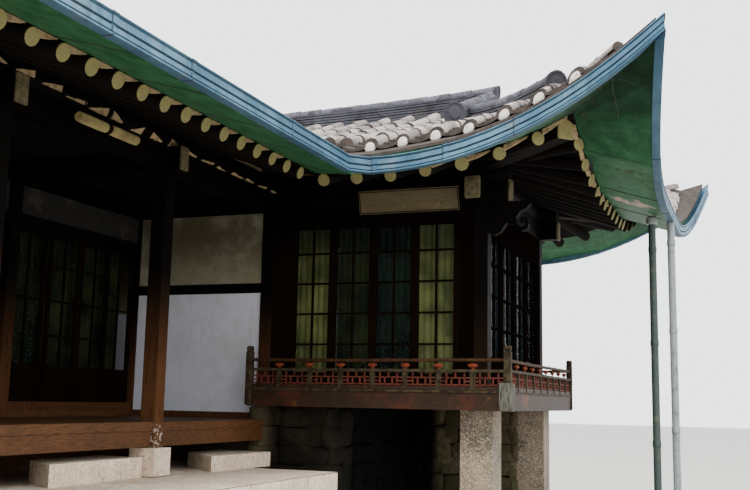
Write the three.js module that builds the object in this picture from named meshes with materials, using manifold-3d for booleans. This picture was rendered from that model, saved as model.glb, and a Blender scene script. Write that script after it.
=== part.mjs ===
// Hanok house: an L-shaped timber house with a long wing and a pavilion raised on granite pillars.
// Millimetres, +Z up. x runs along the front of the pavilion and y away from the courtyard.
// x = 0 and y = 0 are the outer faces where the two wings meet in the inner corner; z = 0 is the courtyard.
import * as THREE from "three";
import { mergeVertices } from "three/addons/utils/BufferGeometryUtils.js";
import Module from "manifold-3d";

const wasm = await Module();
wasm.setup();

// The ja, the carpenter's foot of these houses, and the gap kept between neighbouring pieces
const JA = 303;
const GAP = 0.3;

// Column grid: centre lines of the posts
const POST = 150;
const HALF = POST / 2;
const BAY = 7.5 * JA;
const BAYS = 4;
const COURT_X = HALF;
const INNER_X = COURT_X - 6 * JA;
const BACK_X = COURT_X - 15 * JA;
const SIDE_X = COURT_X + 8.4 * JA;
const FRONT_Y = HALF;
const REAR_Y = FRONT_Y + 8.8 * JA;
const END_Y = FRONT_Y - BAYS * BAY;
const gridY = Array.from({ length: BAYS + 1 }, (_, i) => FRONT_Y - i * BAY);

// Levels
const TERRACE_Z = 830;
const BASE_Z = 1090;
const PORCH_Z = 1325;
const FLOOR_Z = 1380;
const PAVILION_FLOOR_Z = 1720;
const BEAM_LOW_Z = 3700;
const BEAM_TOP_Z = 3925;
const PURLIN_Z = 4021;
const PURLIN_R = 105;

// Roof: the tips of the eaves stand OVERHANG out from the wall faces, at right angles to both walls
const OVERHANG = 2030;
const EAST = SIDE_X + HALF + OVERHANG;
const WEST = BACK_X - HALF - OVERHANG;
const SOUTH = END_Y - HALF - OVERHANG;
const NORTH = REAR_Y + HALF + OVERHANG;
const CORNER_X = COURT_X + HALF + OVERHANG - 90;
const CORNER_Y = FRONT_Y - HALF - OVERHANG;
const PAVILION_HALF = (NORTH - CORNER_Y) / 2;
const MAIN_HALF = (CORNER_X - WEST) / 2;
const TILE_EDGE = 550;
const RAFTER_END = 930;
const RAFTER_R = 62;
const RAFTER_Z = 3780;
const RAFTER_SLOPE = 0.35;
const DECK = 44;
const GABLE_PAVILION = 2310;
const GABLE_MAIN = 3200;
const UPTURN = 1000;
const UPTURN_REACH = 2650;
const UPTURN_STOPS = [0, 250, 550, 900, 1300, 1800, UPTURN_REACH];
const BOW = 180;
const SIDE_BOW = 235;
const PITCH_STOPS = [0, 580, 1600, 2600, PAVILION_HALF, MAIN_HALF, 5200];

// Value of a curve drawn as straight pieces between its stops
function straightened(stops, curve, at) {
  const last = stops.length - 1;
  if (at <= stops[0]) return curve(stops[0]);
  if (at >= stops[last]) return curve(stops[last]);
  const i = stops.findIndex((stop) => stop >= at) - 1;
  const share = (at - stops[i]) / (stops[i + 1] - stops[i]);
  return curve(stops[i]) * (1 - share) + curve(stops[i + 1]) * share;
}

const rawUpturn = (s) => UPTURN * Math.pow(Math.max(0, 1 - s / UPTURN_REACH), 2.1);
const upturn = (s) => straightened(UPTURN_STOPS, rawUpturn, s);
const rawPitch = (d) => 4000 + 0.3 * (d - 580) + 0.000024 * (d - 580) ** 2;
const tileTop = (d) => straightened(PITCH_STOPS, rawPitch, d);
const deckTop = (d) => RAFTER_Z + 100 + RAFTER_SLOPE * Math.max(0, d - RAFTER_END);
const bowShare = (s) => 1 - upturn(s) / UPTURN;

// Solids

// A closed three.js geometry as a solid
function solid(geometry) {
  const bare = new THREE.BufferGeometry();
  bare.setAttribute("position", geometry.getAttribute("position"));
  if (geometry.index) bare.setIndex(geometry.index);
  const merged = mergeVertices(bare, 1e-3);
  return new wasm.Manifold(
    new wasm.Mesh({
      numProp: 3,
      vertProperties: new Float32Array(merged.getAttribute("position").array),
      triVerts: new Uint32Array(merged.index.array),
    }),
  );
}

function box(x0, x1, y0, y1, z0, z1) {
  const geometry = new THREE.BoxGeometry(x1 - x0, y1 - y0, z1 - z0);
  geometry.translate((x0 + x1) / 2, (y0 + y1) / 2, (z0 + z1) / 2);
  return solid(geometry);
}

// An upright post of the given width round a centre
function post(x, y, width, z0, z1) {
  return box(x - width / 2, x + width / 2, y - width / 2, y + width / 2, z0, z1);
}

// A straight log from a to b
function log(a, b, radius, sides) {
  const from = new THREE.Vector3(...a);
  const to = new THREE.Vector3(...b);
  const along = to.clone().sub(from);
  const geometry = new THREE.CylinderGeometry(radius, radius, along.length(), sides);
  const turn = new THREE.Quaternion().setFromUnitVectors(
    new THREE.Vector3(0, 1, 0),
    along.normalize(),
  );
  geometry.applyQuaternion(turn);
  const middle = from.add(to).multiplyScalar(0.5);
  geometry.translate(middle.x, middle.y, middle.z);
  return solid(geometry);
}

// An upright prism over a plan outline
function prism(outline, z0, z1) {
  const shape = new THREE.Shape(outline.map(([x, y]) => new THREE.Vector2(x, y)));
  const geometry = new THREE.ExtrudeGeometry(shape, { depth: z1 - z0, bevelEnabled: false });
  geometry.translate(0, 0, z0);
  return solid(geometry);
}

// A solid from its vertices and triangles, turned to face outward
function shell(vertices, triangles) {
  let volume = 0;
  for (const [i, j, k] of triangles) {
    const a = new THREE.Vector3(...vertices[i]);
    const b = new THREE.Vector3(...vertices[j]);
    const c = new THREE.Vector3(...vertices[k]);
    volume += a.dot(b.cross(c));
  }
  const faced = volume < 0 ? triangles.map(([i, j, k]) => [i, k, j]) : triangles;
  const geometry = new THREE.BufferGeometry();
  geometry.setAttribute("position", new THREE.Float32BufferAttribute(vertices.flat(), 3));
  geometry.setIndex(faced.flat());
  return solid(geometry);
}

// Side faces between rows of like outlines; a closed run joins its last row to its first
function sides(rows, count, closed) {
  const triangles = [];
  const spans = closed ? rows : rows - 1;
  for (let row = 0; row < spans; row += 1) {
    const ahead = ((row + 1) % rows) * count;
    for (let i = 0; i < count; i += 1) {
      const j = (i + 1) % count;
      const here = row * count;
      triangles.push([here + i, ahead + i, here + j], [here + j, ahead + i, ahead + j]);
    }
  }
  return triangles;
}

// A solid through a row of like outlines, closed by its first and last
function loft(sections, flat) {
  const count = sections[0].length;
  const last = (sections.length - 1) * count;
  const shape = flat.map(([x, y]) => new THREE.Vector2(x, y));
  const turned = THREE.ShapeUtils.area(shape) > 0;
  const walls = sides(sections.length, count, false);
  const triangles = turned ? walls : walls.map(([i, j, k]) => [i, k, j]);
  for (const [i, j, k] of THREE.ShapeUtils.triangulateShape(shape, [])) {
    triangles.push([i, j, k], [last + i, last + k, last + j]);
  }
  return shell(sections.flat(), triangles);
}

// A solid ring through outlines that close on themselves
function ring(sections) {
  return shell(sections.flat(), sides(sections.length, sections[0].length, true));
}

// A solid between two height functions over a grid, set in place by a mapping of the grid
function field(us, vs, place, top, bottom) {
  const wide = vs.length;
  const vertices = [];
  for (const height of [top, bottom])
    for (const u of us) for (const v of vs) vertices.push([...place(u, v), height(u, v)]);
  const under = us.length * wide;
  const triangles = [];
  for (let i = 0; i + 1 < us.length; i += 1) {
    for (let j = 0; j + 1 < wide; j += 1) {
      const a = i * wide + j;
      const quad = [[a, a + wide, a + wide + 1], [a, a + wide + 1, a + 1]];
      for (const [p, q, r] of quad) {
        triangles.push([p, q, r]);
        triangles.push([under + p, under + r, under + q]);
      }
    }
  }
  const rim = [];
  for (let i = 0; i < us.length; i += 1) rim.push(i * wide);
  for (let j = 1; j < wide; j += 1) rim.push((us.length - 1) * wide + j);
  for (let i = us.length - 2; i >= 0; i -= 1) rim.push(i * wide + wide - 1);
  for (let j = wide - 2; j >= 1; j -= 1) rim.push(j);
  rim.forEach((a, at) => {
    const b = rim[(at + 1) % rim.length];
    triangles.push([a, under + a, under + b]);
    triangles.push([a, under + b, b]);
  });
  return shell(vertices, triangles);
}

const joined = (solids) => solids.reduce((all, next) => all.add(next));
const without = (body, cutters) => cutters.reduce((all, next) => all.subtract(next), body);

// The body itself, without the slivers a cut leaves beside it
const largest = (body) => body.decompose().sort((a, b) => b.volume() - a.volume())[0];

// An outline drawn in by a small distance on every side
function drawnIn(outline, by) {
  const count = outline.length;
  const turned = THREE.ShapeUtils.area(outline.map(([x, y]) => new THREE.Vector2(x, y))) > 0;
  const side = turned ? 1 : -1;
  return outline.map((at, i) => {
    const before = outline[(i + count - 1) % count];
    const after = outline[(i + 1) % count];
    const p = new THREE.Vector2(at[0] - before[0], at[1] - before[1]).normalize();
    const q = new THREE.Vector2(after[0] - at[0], after[1] - at[1]).normalize();
    const np = new THREE.Vector2(-p.y, p.x).multiplyScalar(side);
    const nq = new THREE.Vector2(-q.y, q.x).multiplyScalar(side);
    const reach = by / (1 + np.dot(nq));
    return [at[0] + (np.x + nq.x) * reach, at[1] + (np.y + nq.y) * reach];
  });
}

// Roof slopes: each is measured by s along its eave from a corner and by d inward from the eave

const slope = (origin, along, inward, length, lifted, deep = BOW) => ({
  origin,
  along,
  inward,
  length,
  lifted,
  deep,
});
const slopes = {
  courtyard: slope([CORNER_X, SOUTH], [0, 1], [-1, 0], CORNER_Y - SOUTH, [true, false]),
  front: slope([CORNER_X, CORNER_Y], [1, 0], [0, 1], EAST - CORNER_X, [false, true]),
  side: slope([EAST, CORNER_Y], [0, 1], [-1, 0], NORTH - CORNER_Y, [true, true], SIDE_BOW),
  rear: slope([EAST, NORTH], [-1, 0], [0, -1], EAST - WEST, [true, true]),
  back: slope([WEST, NORTH], [0, -1], [1, 0], NORTH - SOUTH, [true, true]),
  end: slope([WEST, SOUTH], [1, 0], [0, 1], CORNER_X - WEST, [true, true]),
};

const onSlope = (roof) => (s, d) => [
  roof.origin[0] + roof.along[0] * s + roof.inward[0] * d,
  roof.origin[1] + roof.along[1] * s + roof.inward[1] * d,
];

function lift(roof, s) {
  const first = roof.lifted[0] ? upturn(s) : 0;
  const second = roof.lifted[1] ? upturn(roof.length - s) : 0;
  return first + second;
}

function bow(roof, s) {
  if (roof.lifted[0] && s < roof.length / 2) return roof.deep * bowShare(s);
  if (roof.lifted[1] && s >= roof.length / 2) return roof.deep * bowShare(roof.length - s);
  return roof.deep;
}

// Stops along an eave: close together where it turns up, and on past a corner where it does not
function eaveStops(roof) {
  const first = roof.lifted[0] ? UPTURN_STOPS : [-5200, 0];
  const ends = roof.lifted[1] ? UPTURN_STOPS : [-5200, 0];
  const second = ends.map((s) => roof.length - s).reverse();
  const all = [...first, ...second].sort((a, b) => a - b);
  return all.filter((s, i) => i === 0 || s - all[i - 1] > 60);
}

function layer(roof, stops, top, bottom) {
  const high = (s, d) => top(d) + lift(roof, s);
  const low = (s, d) => bottom(d) + lift(roof, s);
  return field(eaveStops(roof), stops, onSlope(roof), high, low);
}

function plan(roof, outline, z0, z1, gap = GAP) {
  return prism(drawnIn(outline, gap / 2).map(([s, d]) => onSlope(roof)(s, d)), z0, z1);
}

const outlines = {
  courtyard: (r) => [
    [TILE_EDGE, TILE_EDGE],
    [r.length + TILE_EDGE, TILE_EDGE],
    [r.length + PAVILION_HALF, PAVILION_HALF],
    [r.length + 2 * PAVILION_HALF - MAIN_HALF, MAIN_HALF],
    [GABLE_MAIN, MAIN_HALF],
    [GABLE_MAIN, GABLE_MAIN],
  ],
  front: (r) => [
    [-TILE_EDGE, TILE_EDGE],
    [r.length - TILE_EDGE, TILE_EDGE],
    [r.length - GABLE_PAVILION, GABLE_PAVILION],
    [r.length - GABLE_PAVILION, PAVILION_HALF],
    [-PAVILION_HALF, PAVILION_HALF],
  ],
  side: (r) => [
    [TILE_EDGE, TILE_EDGE],
    [r.length - TILE_EDGE, TILE_EDGE],
    [r.length - GABLE_PAVILION, GABLE_PAVILION],
    [GABLE_PAVILION, GABLE_PAVILION],
  ],
  rear: (r) => [
    [TILE_EDGE, TILE_EDGE],
    [r.length - TILE_EDGE, TILE_EDGE],
    [r.length - MAIN_HALF, MAIN_HALF],
    [EAST - CORNER_X + PAVILION_HALF, PAVILION_HALF],
    [GABLE_PAVILION, PAVILION_HALF],
    [GABLE_PAVILION, GABLE_PAVILION],
  ],
  back: (r) => [
    [TILE_EDGE, TILE_EDGE],
    [r.length - TILE_EDGE, TILE_EDGE],
    [r.length - GABLE_MAIN, GABLE_MAIN],
    [r.length - GABLE_MAIN, MAIN_HALF],
    [MAIN_HALF, MAIN_HALF],
  ],
  end: (r) => [
    [TILE_EDGE, TILE_EDGE],
    [r.length - TILE_EDGE, TILE_EDGE],
    [r.length - GABLE_MAIN, GABLE_MAIN],
    [GABLE_MAIN, GABLE_MAIN],
  ],
};

const pieces = {};

function tileSlab(name, gap) {
  const roof = slopes[name];
  const stops = [0, 580, RAFTER_END, 1600, 2600, PAVILION_HALF, MAIN_HALF, 5200];
  const whole = layer(roof, stops, tileTop, (d) => deckTop(d) + GAP);
  return whole.intersect(plan(roof, outlines[name](roof), 3000, 7000, gap));
}

const tiles = Object.fromEntries(Object.keys(slopes).map((name) => [name, tileSlab(name, GAP)]));
for (const name of Object.keys(tiles)) pieces[`roof_${name}`] = tiles[name];

// Gable walls under the two open ends of the ridges
function gable(centre, half) {
  const low = deckTop(half - 1020) - 40;
  const foot = 1000;
  const top = deckTop(half) - GAP;
  const at = top - RAFTER_SLOPE * foot;
  const outline = [
    [centre - foot, low],
    [centre + foot, low],
    [centre + foot, at],
    [centre, top],
    [centre - foot, at],
  ];
  return prism(outline, -60, 0);
}
pieces.gable_pavilion = gable((NORTH + CORNER_Y) / 2, PAVILION_HALF)
  .rotate([90, 0, 90])
  .translate([EAST - GABLE_PAVILION - GAP, 0, 0]);
pieces.gable_main = gable((CORNER_X + WEST) / 2, MAIN_HALF)
  .rotate([90, 0, 0])
  .translate([0, SOUTH + GABLE_MAIN + 60 + GAP, 0]);

// Ridges: upright bands along the tops and the corners of the roof
function band(points, width, height, low) {
  const w = width / 2;
  const flat = [[-w, -low], [w, -low], [w * 0.8, height], [-w * 0.8, height]];
  const sections = points.map((at, i) => {
    const before = points[Math.max(0, i - 1)];
    const after = points[Math.min(points.length - 1, i + 1)];
    const along = new THREE.Vector2(after[0] - before[0], after[1] - before[1]).normalize();
    return flat.map(([u, v]) => [at[0] - along.y * u, at[1] + along.x * u, at[2] + v]);
  });
  return loft(sections, flat);
}

function hipLine(x, y, dx, dy, from, to) {
  const steps = [0, 0.12, 0.25, 0.4, 0.6, 0.8, 1];
  return steps.map((share) => {
    const d = from + (to - from) * share;
    return [x + dx * d, y + dy * d, tileTop(d) + upturn(d)];
  });
}

const roofBlock = joined(Object.keys(slopes).map((name) => tileSlab(name, -4 * GAP)));
const underRoof = roofBlock.translate([0, 0, -GAP]);
const clearOfRoof = (body) => body.subtract(roofBlock.translate([0, 0, GAP]));

const HIP_END = 930;
const RIDGE_W = 210;
const RIDGE_H = 260;
const ridgePavilionX = EAST - GABLE_PAVILION;
const ridgePavilionY = (NORTH + CORNER_Y) / 2;
const ridgeMainX = (CORNER_X + WEST) / 2;
const ridgePavilionZ = tileTop(PAVILION_HALF);
const ridgeMainZ = tileTop(MAIN_HALF);

function mainBand(from, to, z, rise) {
  const shares = [0, 0.25, 0.5, 0.75, 0.9, 1];
  return shares.map((share) => [
    from[0] + (to[0] - from[0]) * share,
    from[1] + (to[1] - from[1]) * share,
    z + rise * share ** 3,
  ]);
}

function verge(x, y, dx, dy, half, foot) {
  const stops = [half, (half * 2 + foot) / 3, (half + foot * 2) / 3, foot];
  return stops.map((d) => [x + dx * d, y + dy * d, tileTop(d)]);
}

const VERGE_FOOT = 1900;
const ridgePavilion = [
  band(
    mainBand([-1700, ridgePavilionY], [ridgePavilionX, ridgePavilionY], ridgePavilionZ, 90),
    RIDGE_W,
    RIDGE_H,
    150,
  ),
  band(verge(ridgePavilionX - 120, CORNER_Y, 0, 1, PAVILION_HALF, VERGE_FOOT), 190, 220, 85),
  band(verge(ridgePavilionX - 120, NORTH, 0, -1, PAVILION_HALF, VERGE_FOOT), 190, 220, 85),
  band(hipLine(EAST, CORNER_Y, -1, 1, HIP_END, GABLE_PAVILION + 130), 190, 170, 85),
  band(hipLine(EAST, NORTH, -1, -1, HIP_END, GABLE_PAVILION + 130), 190, 170, 85),
];
const ridgeMain = [
  band(
    mainBand([ridgeMainX, NORTH - MAIN_HALF], [ridgeMainX, SOUTH + GABLE_MAIN], ridgeMainZ, 120),
    RIDGE_W,
    RIDGE_H + 20,
    150,
  ),
  band(verge(CORNER_X, SOUTH + GABLE_MAIN + 120, -1, 0, MAIN_HALF, 2700), 190, 220, 85),
  band(verge(WEST, SOUTH + GABLE_MAIN + 120, 1, 0, MAIN_HALF, 2700), 190, 220, 85),
  band(hipLine(CORNER_X, SOUTH, -1, 1, HIP_END, GABLE_MAIN + 130), 190, 170, 85),
  band(hipLine(WEST, SOUTH, 1, 1, HIP_END, GABLE_MAIN + 130), 190, 170, 85),
  band(hipLine(WEST, NORTH, 1, -1, HIP_END, MAIN_HALF), 190, 170, 85),
];
const shortHip = [
  [ridgeMainX, NORTH - MAIN_HALF, ridgeMainZ],
  [EAST - (EAST - CORNER_X) - PAVILION_HALF, ridgePavilionY, ridgePavilionZ],
];
ridgeMain.push(band(shortHip, 190, 170, 85));
const ridgeStart = CORNER_X - PAVILION_HALF + 80;
const capMain = largest(clearOfRoof(joined(ridgeMain)));
pieces.ridge_main = capMain;
pieces.ridge_pavilion = largest(
  clearOfRoof(joined(ridgePavilion)).subtract(
    box(-2600, ridgeStart, ridgePavilionY - 400, ridgePavilionY + 400, 4800, 6000),
  ),
);

// Eaves: a boxed sheet-metal soffit from the rafter ends out to the gutter, in one ring round the house
const SOFFIT_IN = RAFTER_END - 15;
const GUTTER_W = 66;
const GUTTER_LOW = 3640;
const soffitShape = [[0, 3652], [0, 3800], [1, 3876], [2, 3876], [2, 3852]];

// How far from a hip the outer and the inner edge of each section stand: the outer edge runs on further
const FAN = [
  [0, 0],
  [400, 90],
  [900, 330],
  [1500, 900],
  [2650, 2650],
];

function soffitSection(roof, outer, inner, fromStart) {
  const place = onSlope(roof);
  const s = (at) => (fromStart ? at : roof.length - at);
  const edge = bow(roof, s(outer)) + GUTTER_W + GAP;
  const depths = [edge, TILE_EDGE - 10, SOFFIT_IN];
  return soffitShape.map(([column, z]) => {
    const share = (depths[column] - edge) / (SOFFIT_IN - edge);
    const at = s(outer + (inner - outer) * share);
    return [...place(at, depths[column]), z + lift(roof, at)];
  });
}

// Sections at a lifted corner, from its hip to where the eave runs straight
function cornerSections(roof, fromStart) {
  const near = GUTTER_W + GAP;
  return FAN.map(([outer, inner]) => {
    const across = near + (outer / UPTURN_REACH) * (UPTURN_REACH - near);
    const along = SOFFIT_IN + (inner / UPTURN_REACH) * (UPTURN_REACH - SOFFIT_IN);
    return soffitSection(roof, across, along, fromStart);
  });
}

// The section where two eaves meet in the inner corner
function valleySection(roof) {
  const place = onSlope(roof);
  const depths = [BOW + GUTTER_W + GAP, TILE_EDGE - 10, SOFFIT_IN];
  return soffitShape.map(([column, z]) => [...place(roof.length + depths[column], depths[column]), z]);
}

const around = [slopes.courtyard, slopes.front, slopes.side, slopes.rear, slopes.back, slopes.end];
const soffitRing = [];
for (const roof of around) {
  if (roof.lifted[0]) soffitRing.push(...cornerSections(roof, true));
  const finish = roof.lifted[1] ? cornerSections(roof, false).reverse() : [valleySection(roof)];
  soffitRing.push(...(roof.lifted[1] ? finish.slice(0, -1) : finish));
}

// Gutter: a deep sheet-metal channel round the eaves, cut across the inner corner
const gutterShape = [
  [0, 0],
  [0, 180],
  [6, 180],
  [6, 8],
  [GUTTER_W - 6, 8],
  [GUTTER_W - 6, 150],
  [GUTTER_W, 150],
  [GUTTER_W, 0],
];
const CHAMFER = 150;

// Outer line of the gutter along one eave, without its far tip
function gutterLine(roof) {
  const place = onSlope(roof);
  const stops = eaveStops(roof).filter((s) => s >= 0 && s < roof.length - 1);
  return stops.map((s) => [...place(s, bow(roof, s)), GUTTER_LOW + lift(roof, s)]);
}

function mitre(before, at, after) {
  const p = new THREE.Vector2(at[0] - before[0], at[1] - before[1]).normalize();
  const q = new THREE.Vector2(after[0] - at[0], after[1] - at[1]).normalize();
  const inward = new THREE.Vector2(-p.y - q.y, p.x + q.x);
  return inward.multiplyScalar(1 / (1 + p.dot(q)));
}

const gutterPath = around.flatMap((roof) => {
  const line = gutterLine(roof);
  if (roof !== slopes.front) return line;
  const corner = [CORNER_X - BOW, CORNER_Y + BOW, GUTTER_LOW];
  const cut = [
    [corner[0], corner[1] - CHAMFER, corner[2]],
    [corner[0] + CHAMFER, corner[1], corner[2]],
  ];
  return [...cut, ...line.filter(([x]) => x > corner[0] + CHAMFER + 60)];
});
const gutterRing = gutterPath.map((at, i) => {
  const count = gutterPath.length;
  const inward = mitre(gutterPath[(i + count - 1) % count], at, gutterPath[(i + 1) % count]);
  return gutterShape.map(([u, v]) => [at[0] + inward.x * u, at[1] + inward.y * u, at[2] + v]);
});
pieces.gutter = ring(gutterRing);
const gutterBlock = gutterPath.map((at, i) => {
  const count = gutterPath.length;
  const inward = mitre(gutterPath[(i + count - 1) % count], at, gutterPath[(i + 1) % count]);
  const edges = [[-60, -60], [-60, 300], [GUTTER_W + GAP, 300], [GUTTER_W + GAP, -60]];
  return edges.map(([u, v]) => [at[0] + inward.x * u, at[1] + inward.y * u, at[2] + v]);
});
pieces.soffit = largest(without(ring(soffitRing), [ring(gutterBlock), underRoof]));

// Rafters: round logs under a deck of boards, fanned at the corners beside a square hip rafter
const RAFTER_IN = 2330;
const RAFTER_SIDES = 6;

// Fanned rafters: where each ends at the eave, and where it meets the side of the hip rafter
const FANNED = [
  [1250, 1730, 1510],
  [1625, 2010, 1790],
  [2000, 2240, 2020],
];
const STRAIGHT_FROM = 2375;

function rafterEnds(roof, spacing) {
  const fromStart = roof.lifted[0];
  const toEnd = roof.lifted[1];
  const start = fromStart ? STRAIGHT_FROM : -850;
  const finish = roof.length - (toEnd ? STRAIGHT_FROM : -850);
  const count = Math.floor((finish - start) / spacing);
  const step = fromStart && toEnd ? (finish - start) / count : spacing;
  const straight = Array.from({ length: count + 1 }, (_, i) => {
    const s = toEnd ? finish - i * step : start + i * step;
    return [s, s, RAFTER_IN];
  });
  const first = fromStart ? FANNED : [];
  const last = toEnd ? FANNED.map(([a, b, d]) => [roof.length - a, roof.length - b, d]) : [];
  return [...first, ...straight, ...last];
}

function rafter(roof, outer, inner, depth) {
  const place = onSlope(roof);
  const inZ = RAFTER_Z + RAFTER_SLOPE * (depth - RAFTER_END);
  const a = [...place(outer, RAFTER_END), RAFTER_Z + lift(roof, outer)];
  const b = [...place(inner, depth), inZ + lift(roof, inner)];
  return log(a, b, RAFTER_R, RAFTER_SIDES);
}

const hipRafterShape = [[-80, -105], [80, -105], [80, 105], [-80, 105]];
function hipRafter(x, y, dx, dy, grow) {
  const stations = [
    [1010 - grow, RAFTER_Z + upturn(1010)],
    [2700, 4150],
  ];
  const sections = stations.map(([d, z]) =>
    hipRafterShape.map(([u, v]) => {
      const out = u + Math.sign(u) * grow;
      return [
        x + dx * d + dy * out * Math.SQRT1_2,
        y + dy * d - dx * out * Math.SQRT1_2,
        z + v + Math.sign(v) * grow,
      ];
    }),
  );
  return loft(sections, hipRafterShape);
}
const hips = {
  front: [EAST, CORNER_Y, -1, 1],
  rear: [EAST, NORTH, -1, -1],
  back: [WEST, NORTH, 1, -1],
  west: [WEST, SOUTH, 1, 1],
  south: [CORNER_X, SOUTH, -1, 1],
};
const hipsOf = { side: ["front", "rear"], end: ["west", "south"], rear: ["back"] };

// Purlins over the posts, which the rafters bear on
const purlin = (a, b) => log([...a, PURLIN_Z], [...b, PURLIN_Z], PURLIN_R, 10);
const purlins = joined([
  purlin([COURT_X, END_Y - 300], [COURT_X, FRONT_Y]),
  purlin([BACK_X, END_Y - 300], [BACK_X, REAR_Y + 300]),
  purlin([BACK_X - 300, END_Y], [COURT_X + 300, END_Y]),
  purlin([BACK_X - 300, REAR_Y], [SIDE_X + 300, REAR_Y]),
  purlin([COURT_X, FRONT_Y], [SIDE_X + 300, FRONT_Y]),
  purlin([SIDE_X, FRONT_Y - 300], [SIDE_X, REAR_Y + 300]),
]);
const thickPurlin = (a, b) => log([...a, PURLIN_Z], [...b, PURLIN_Z], PURLIN_R + 1, 10);
const purlinCut = joined([
  thickPurlin([COURT_X, END_Y - 302], [COURT_X, FRONT_Y]),
  thickPurlin([BACK_X, END_Y - 302], [BACK_X, REAR_Y + 302]),
  thickPurlin([BACK_X - 302, END_Y], [COURT_X + 302, END_Y]),
  thickPurlin([BACK_X - 302, REAR_Y], [SIDE_X + 302, REAR_Y]),
  thickPurlin([COURT_X, FRONT_Y], [SIDE_X + 302, FRONT_Y]),
  thickPurlin([SIDE_X, FRONT_Y - 302], [SIDE_X, REAR_Y + 302]),
]);

function rafters(name, spacing) {
  const roof = slopes[name];
  const ends = rafterEnds(roof, spacing);
  const logs = ends.map(([outer, inner, depth]) => rafter(roof, outer, inner, depth));
  const stops = [0, RAFTER_END, 5200];
  const far = RAFTER_IN - 40;
  const near = RAFTER_END + 5;
  const first = roof.lifted[0] ? [[near, near], [far, far]] : [[-near, near], [-far, far]];
  const lastSide = roof.lifted[1] ? -1 : 1;
  const outline = [
    first[0],
    [roof.length + lastSide * near, near],
    [roof.length + lastSide * far, far],
    first[1],
  ];
  const deck = layer(roof, stops, (d) => deckTop(d) - GAP, (d) => deckTop(d) - DECK);
  const boards = deck.intersect(plan(roof, outline, 3000, 7000));
  const below = layer(roof, stops, (d) => deckTop(d) - 14, (d) => deckTop(d) - 900);
  const wide = [
    [first[0][0], 0],
    [roof.length + lastSide * near, 0],
    [roof.length + lastSide * near, near],
    [roof.length + lastSide * (far + 500), far + 500],
    [roof.lifted[0] ? far + 500 : -far - 500, far + 500],
    first[0],
  ];
  const zone = plan(roof, wide, 3000, 7000, 5);
  const own = (hipsOf[name] ?? []).map((key) => hipRafter(...hips[key], 0));
  const others = Object.keys(hips)
    .filter((key) => !(hipsOf[name] ?? []).includes(key))
    .map((key) => hipRafter(...hips[key], 0.5));
  const body = joined([...logs, boards]).intersect(below).intersect(zone);
  const whole = own.length ? joined([body, ...own]) : body;
  return largest(without(whole, [...others, purlinCut, underRoof]));
}

const laid = {
  courtyard: rafters("courtyard", JA),
  front: rafters("front", 1.2 * JA),
  side: rafters("side", JA),
  rear: rafters("rear", 1.5 * JA),
  back: rafters("back", 1.5 * JA),
  end: rafters("end", 1.5 * JA),
};

for (const [name, body] of Object.entries(laid)) pieces[`rafters_${name}`] = body;

// Walls that run on through the posts, each with the openings cut through it
const WALL_LOW = FLOOR_Z + 120;
const WALL_TOP = BEAM_LOW_Z;
const CORNER_ROOM_Y = (FRONT_Y + REAR_Y) / 2;
const midY = gridY.slice(1).map((y, i) => (y + gridY[i]) / 2);

function wallAcrossX(x, y0, y1, grow, windows) {
  const body = box(x - 30 - grow, x + 30 + grow, y0, y1, WALL_LOW - grow, WALL_TOP + grow);
  return without(body, windows.map(([y, z0, z1]) => box(x - 99, x + 99, y - 400, y + 400, z0, z1)));
}
const backWindows = [CORNER_ROOM_Y, ...midY].map((y) => [y, 2000, 3000]);
const backWall = (grow) =>
  wallAcrossX(BACK_X, END_Y + HALF - grow, REAR_Y - HALF + grow, grow, grow ? [] : backWindows);

function wallAcrossY(y, x0, x1, grow, windows) {
  const body = box(x0, x1, y - 30 - grow, y + 30 + grow, WALL_LOW - grow, WALL_TOP + grow);
  return without(body, windows.map(([x, z0, z1]) => box(x - 400, x + 400, y - 99, y + 99, z0, z1)));
}
const endWall = (grow) =>
  wallAcrossY(END_Y, BACK_X + HALF - grow, INNER_X - HALF + grow, grow, grow ? [] : [[-3100, 2000, 3000]]);
const northWall = (grow) =>
  wallAcrossY(REAR_Y, BACK_X + HALF - grow, COURT_X - HALF + grow, grow, grow ? [] : [[-3100, 2000, 3000], [-840, 2000, 3000]]);
pieces.wall_back = backWall(0);
pieces.wall_end = endWall(0);
pieces.wall_north = northWall(0);

// White plaster wall that closes the porch against the pavilion
const RAIL_LOW = 2765;
const RAIL_TOP = 2880;
const whiteWall = (grow) =>
  box(INNER_X + HALF - grow, COURT_X - HALF + grow, 20 - grow, 80 + grow, 1400 - grow, WALL_TOP + grow);
pieces.wall_porch_end = without(whiteWall(0), [
  box(INNER_X, COURT_X - HALF + 1, 19, 50, RAIL_LOW - GAP, RAIL_TOP + GAP),
]);

// Wall over the doors of the long wing
const DOOR_HEAD = 3300;
const overDoors = (grow) =>
  box(INNER_X - 25 - grow, INNER_X + 25 + grow, END_Y + HALF - grow, -grow, 3400 - grow, WALL_TOP + grow);
pieces.wall_over_doors = overDoors(0);

// Glazed lattice leaves: stiles, rails, bars and a wooden foot panel

function leafAcrossX(x, y0, y1, z0, z1, thick, bars, foot) {
  const a = x - thick / 2;
  const b = x + thick / 2;
  const parts = [
    box(a, b, y0, y0 + 45, z0, z1),
    box(a, b, y1 - 45, y1, z0, z1),
    box(a, b, y0, y1, z0, z0 + 60),
    box(a, b, y0, y1, z1 - 60, z1),
  ];
  if (foot) parts.push(box(a + 8, b - 8, y0 + 10, y1 - 10, z0 + 10, z0 + foot));
  if (foot) parts.push(box(a, b, y0, y1, z0 + foot, z0 + foot + 50));
  const low = z0 + (foot || 30);
  for (let i = 1; i <= bars; i += 1) {
    const z = low + ((z1 - low) * i) / (bars + 1);
    parts.push(box(a + 6, b - 6, y0 + 10, y1 - 10, z - 10, z + 10));
  }
  const middle = (y0 + y1) / 2;
  parts.push(box(a + 6, b - 6, middle - 10, middle + 10, low, z1 - 10));
  return joined(parts);
}

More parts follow.
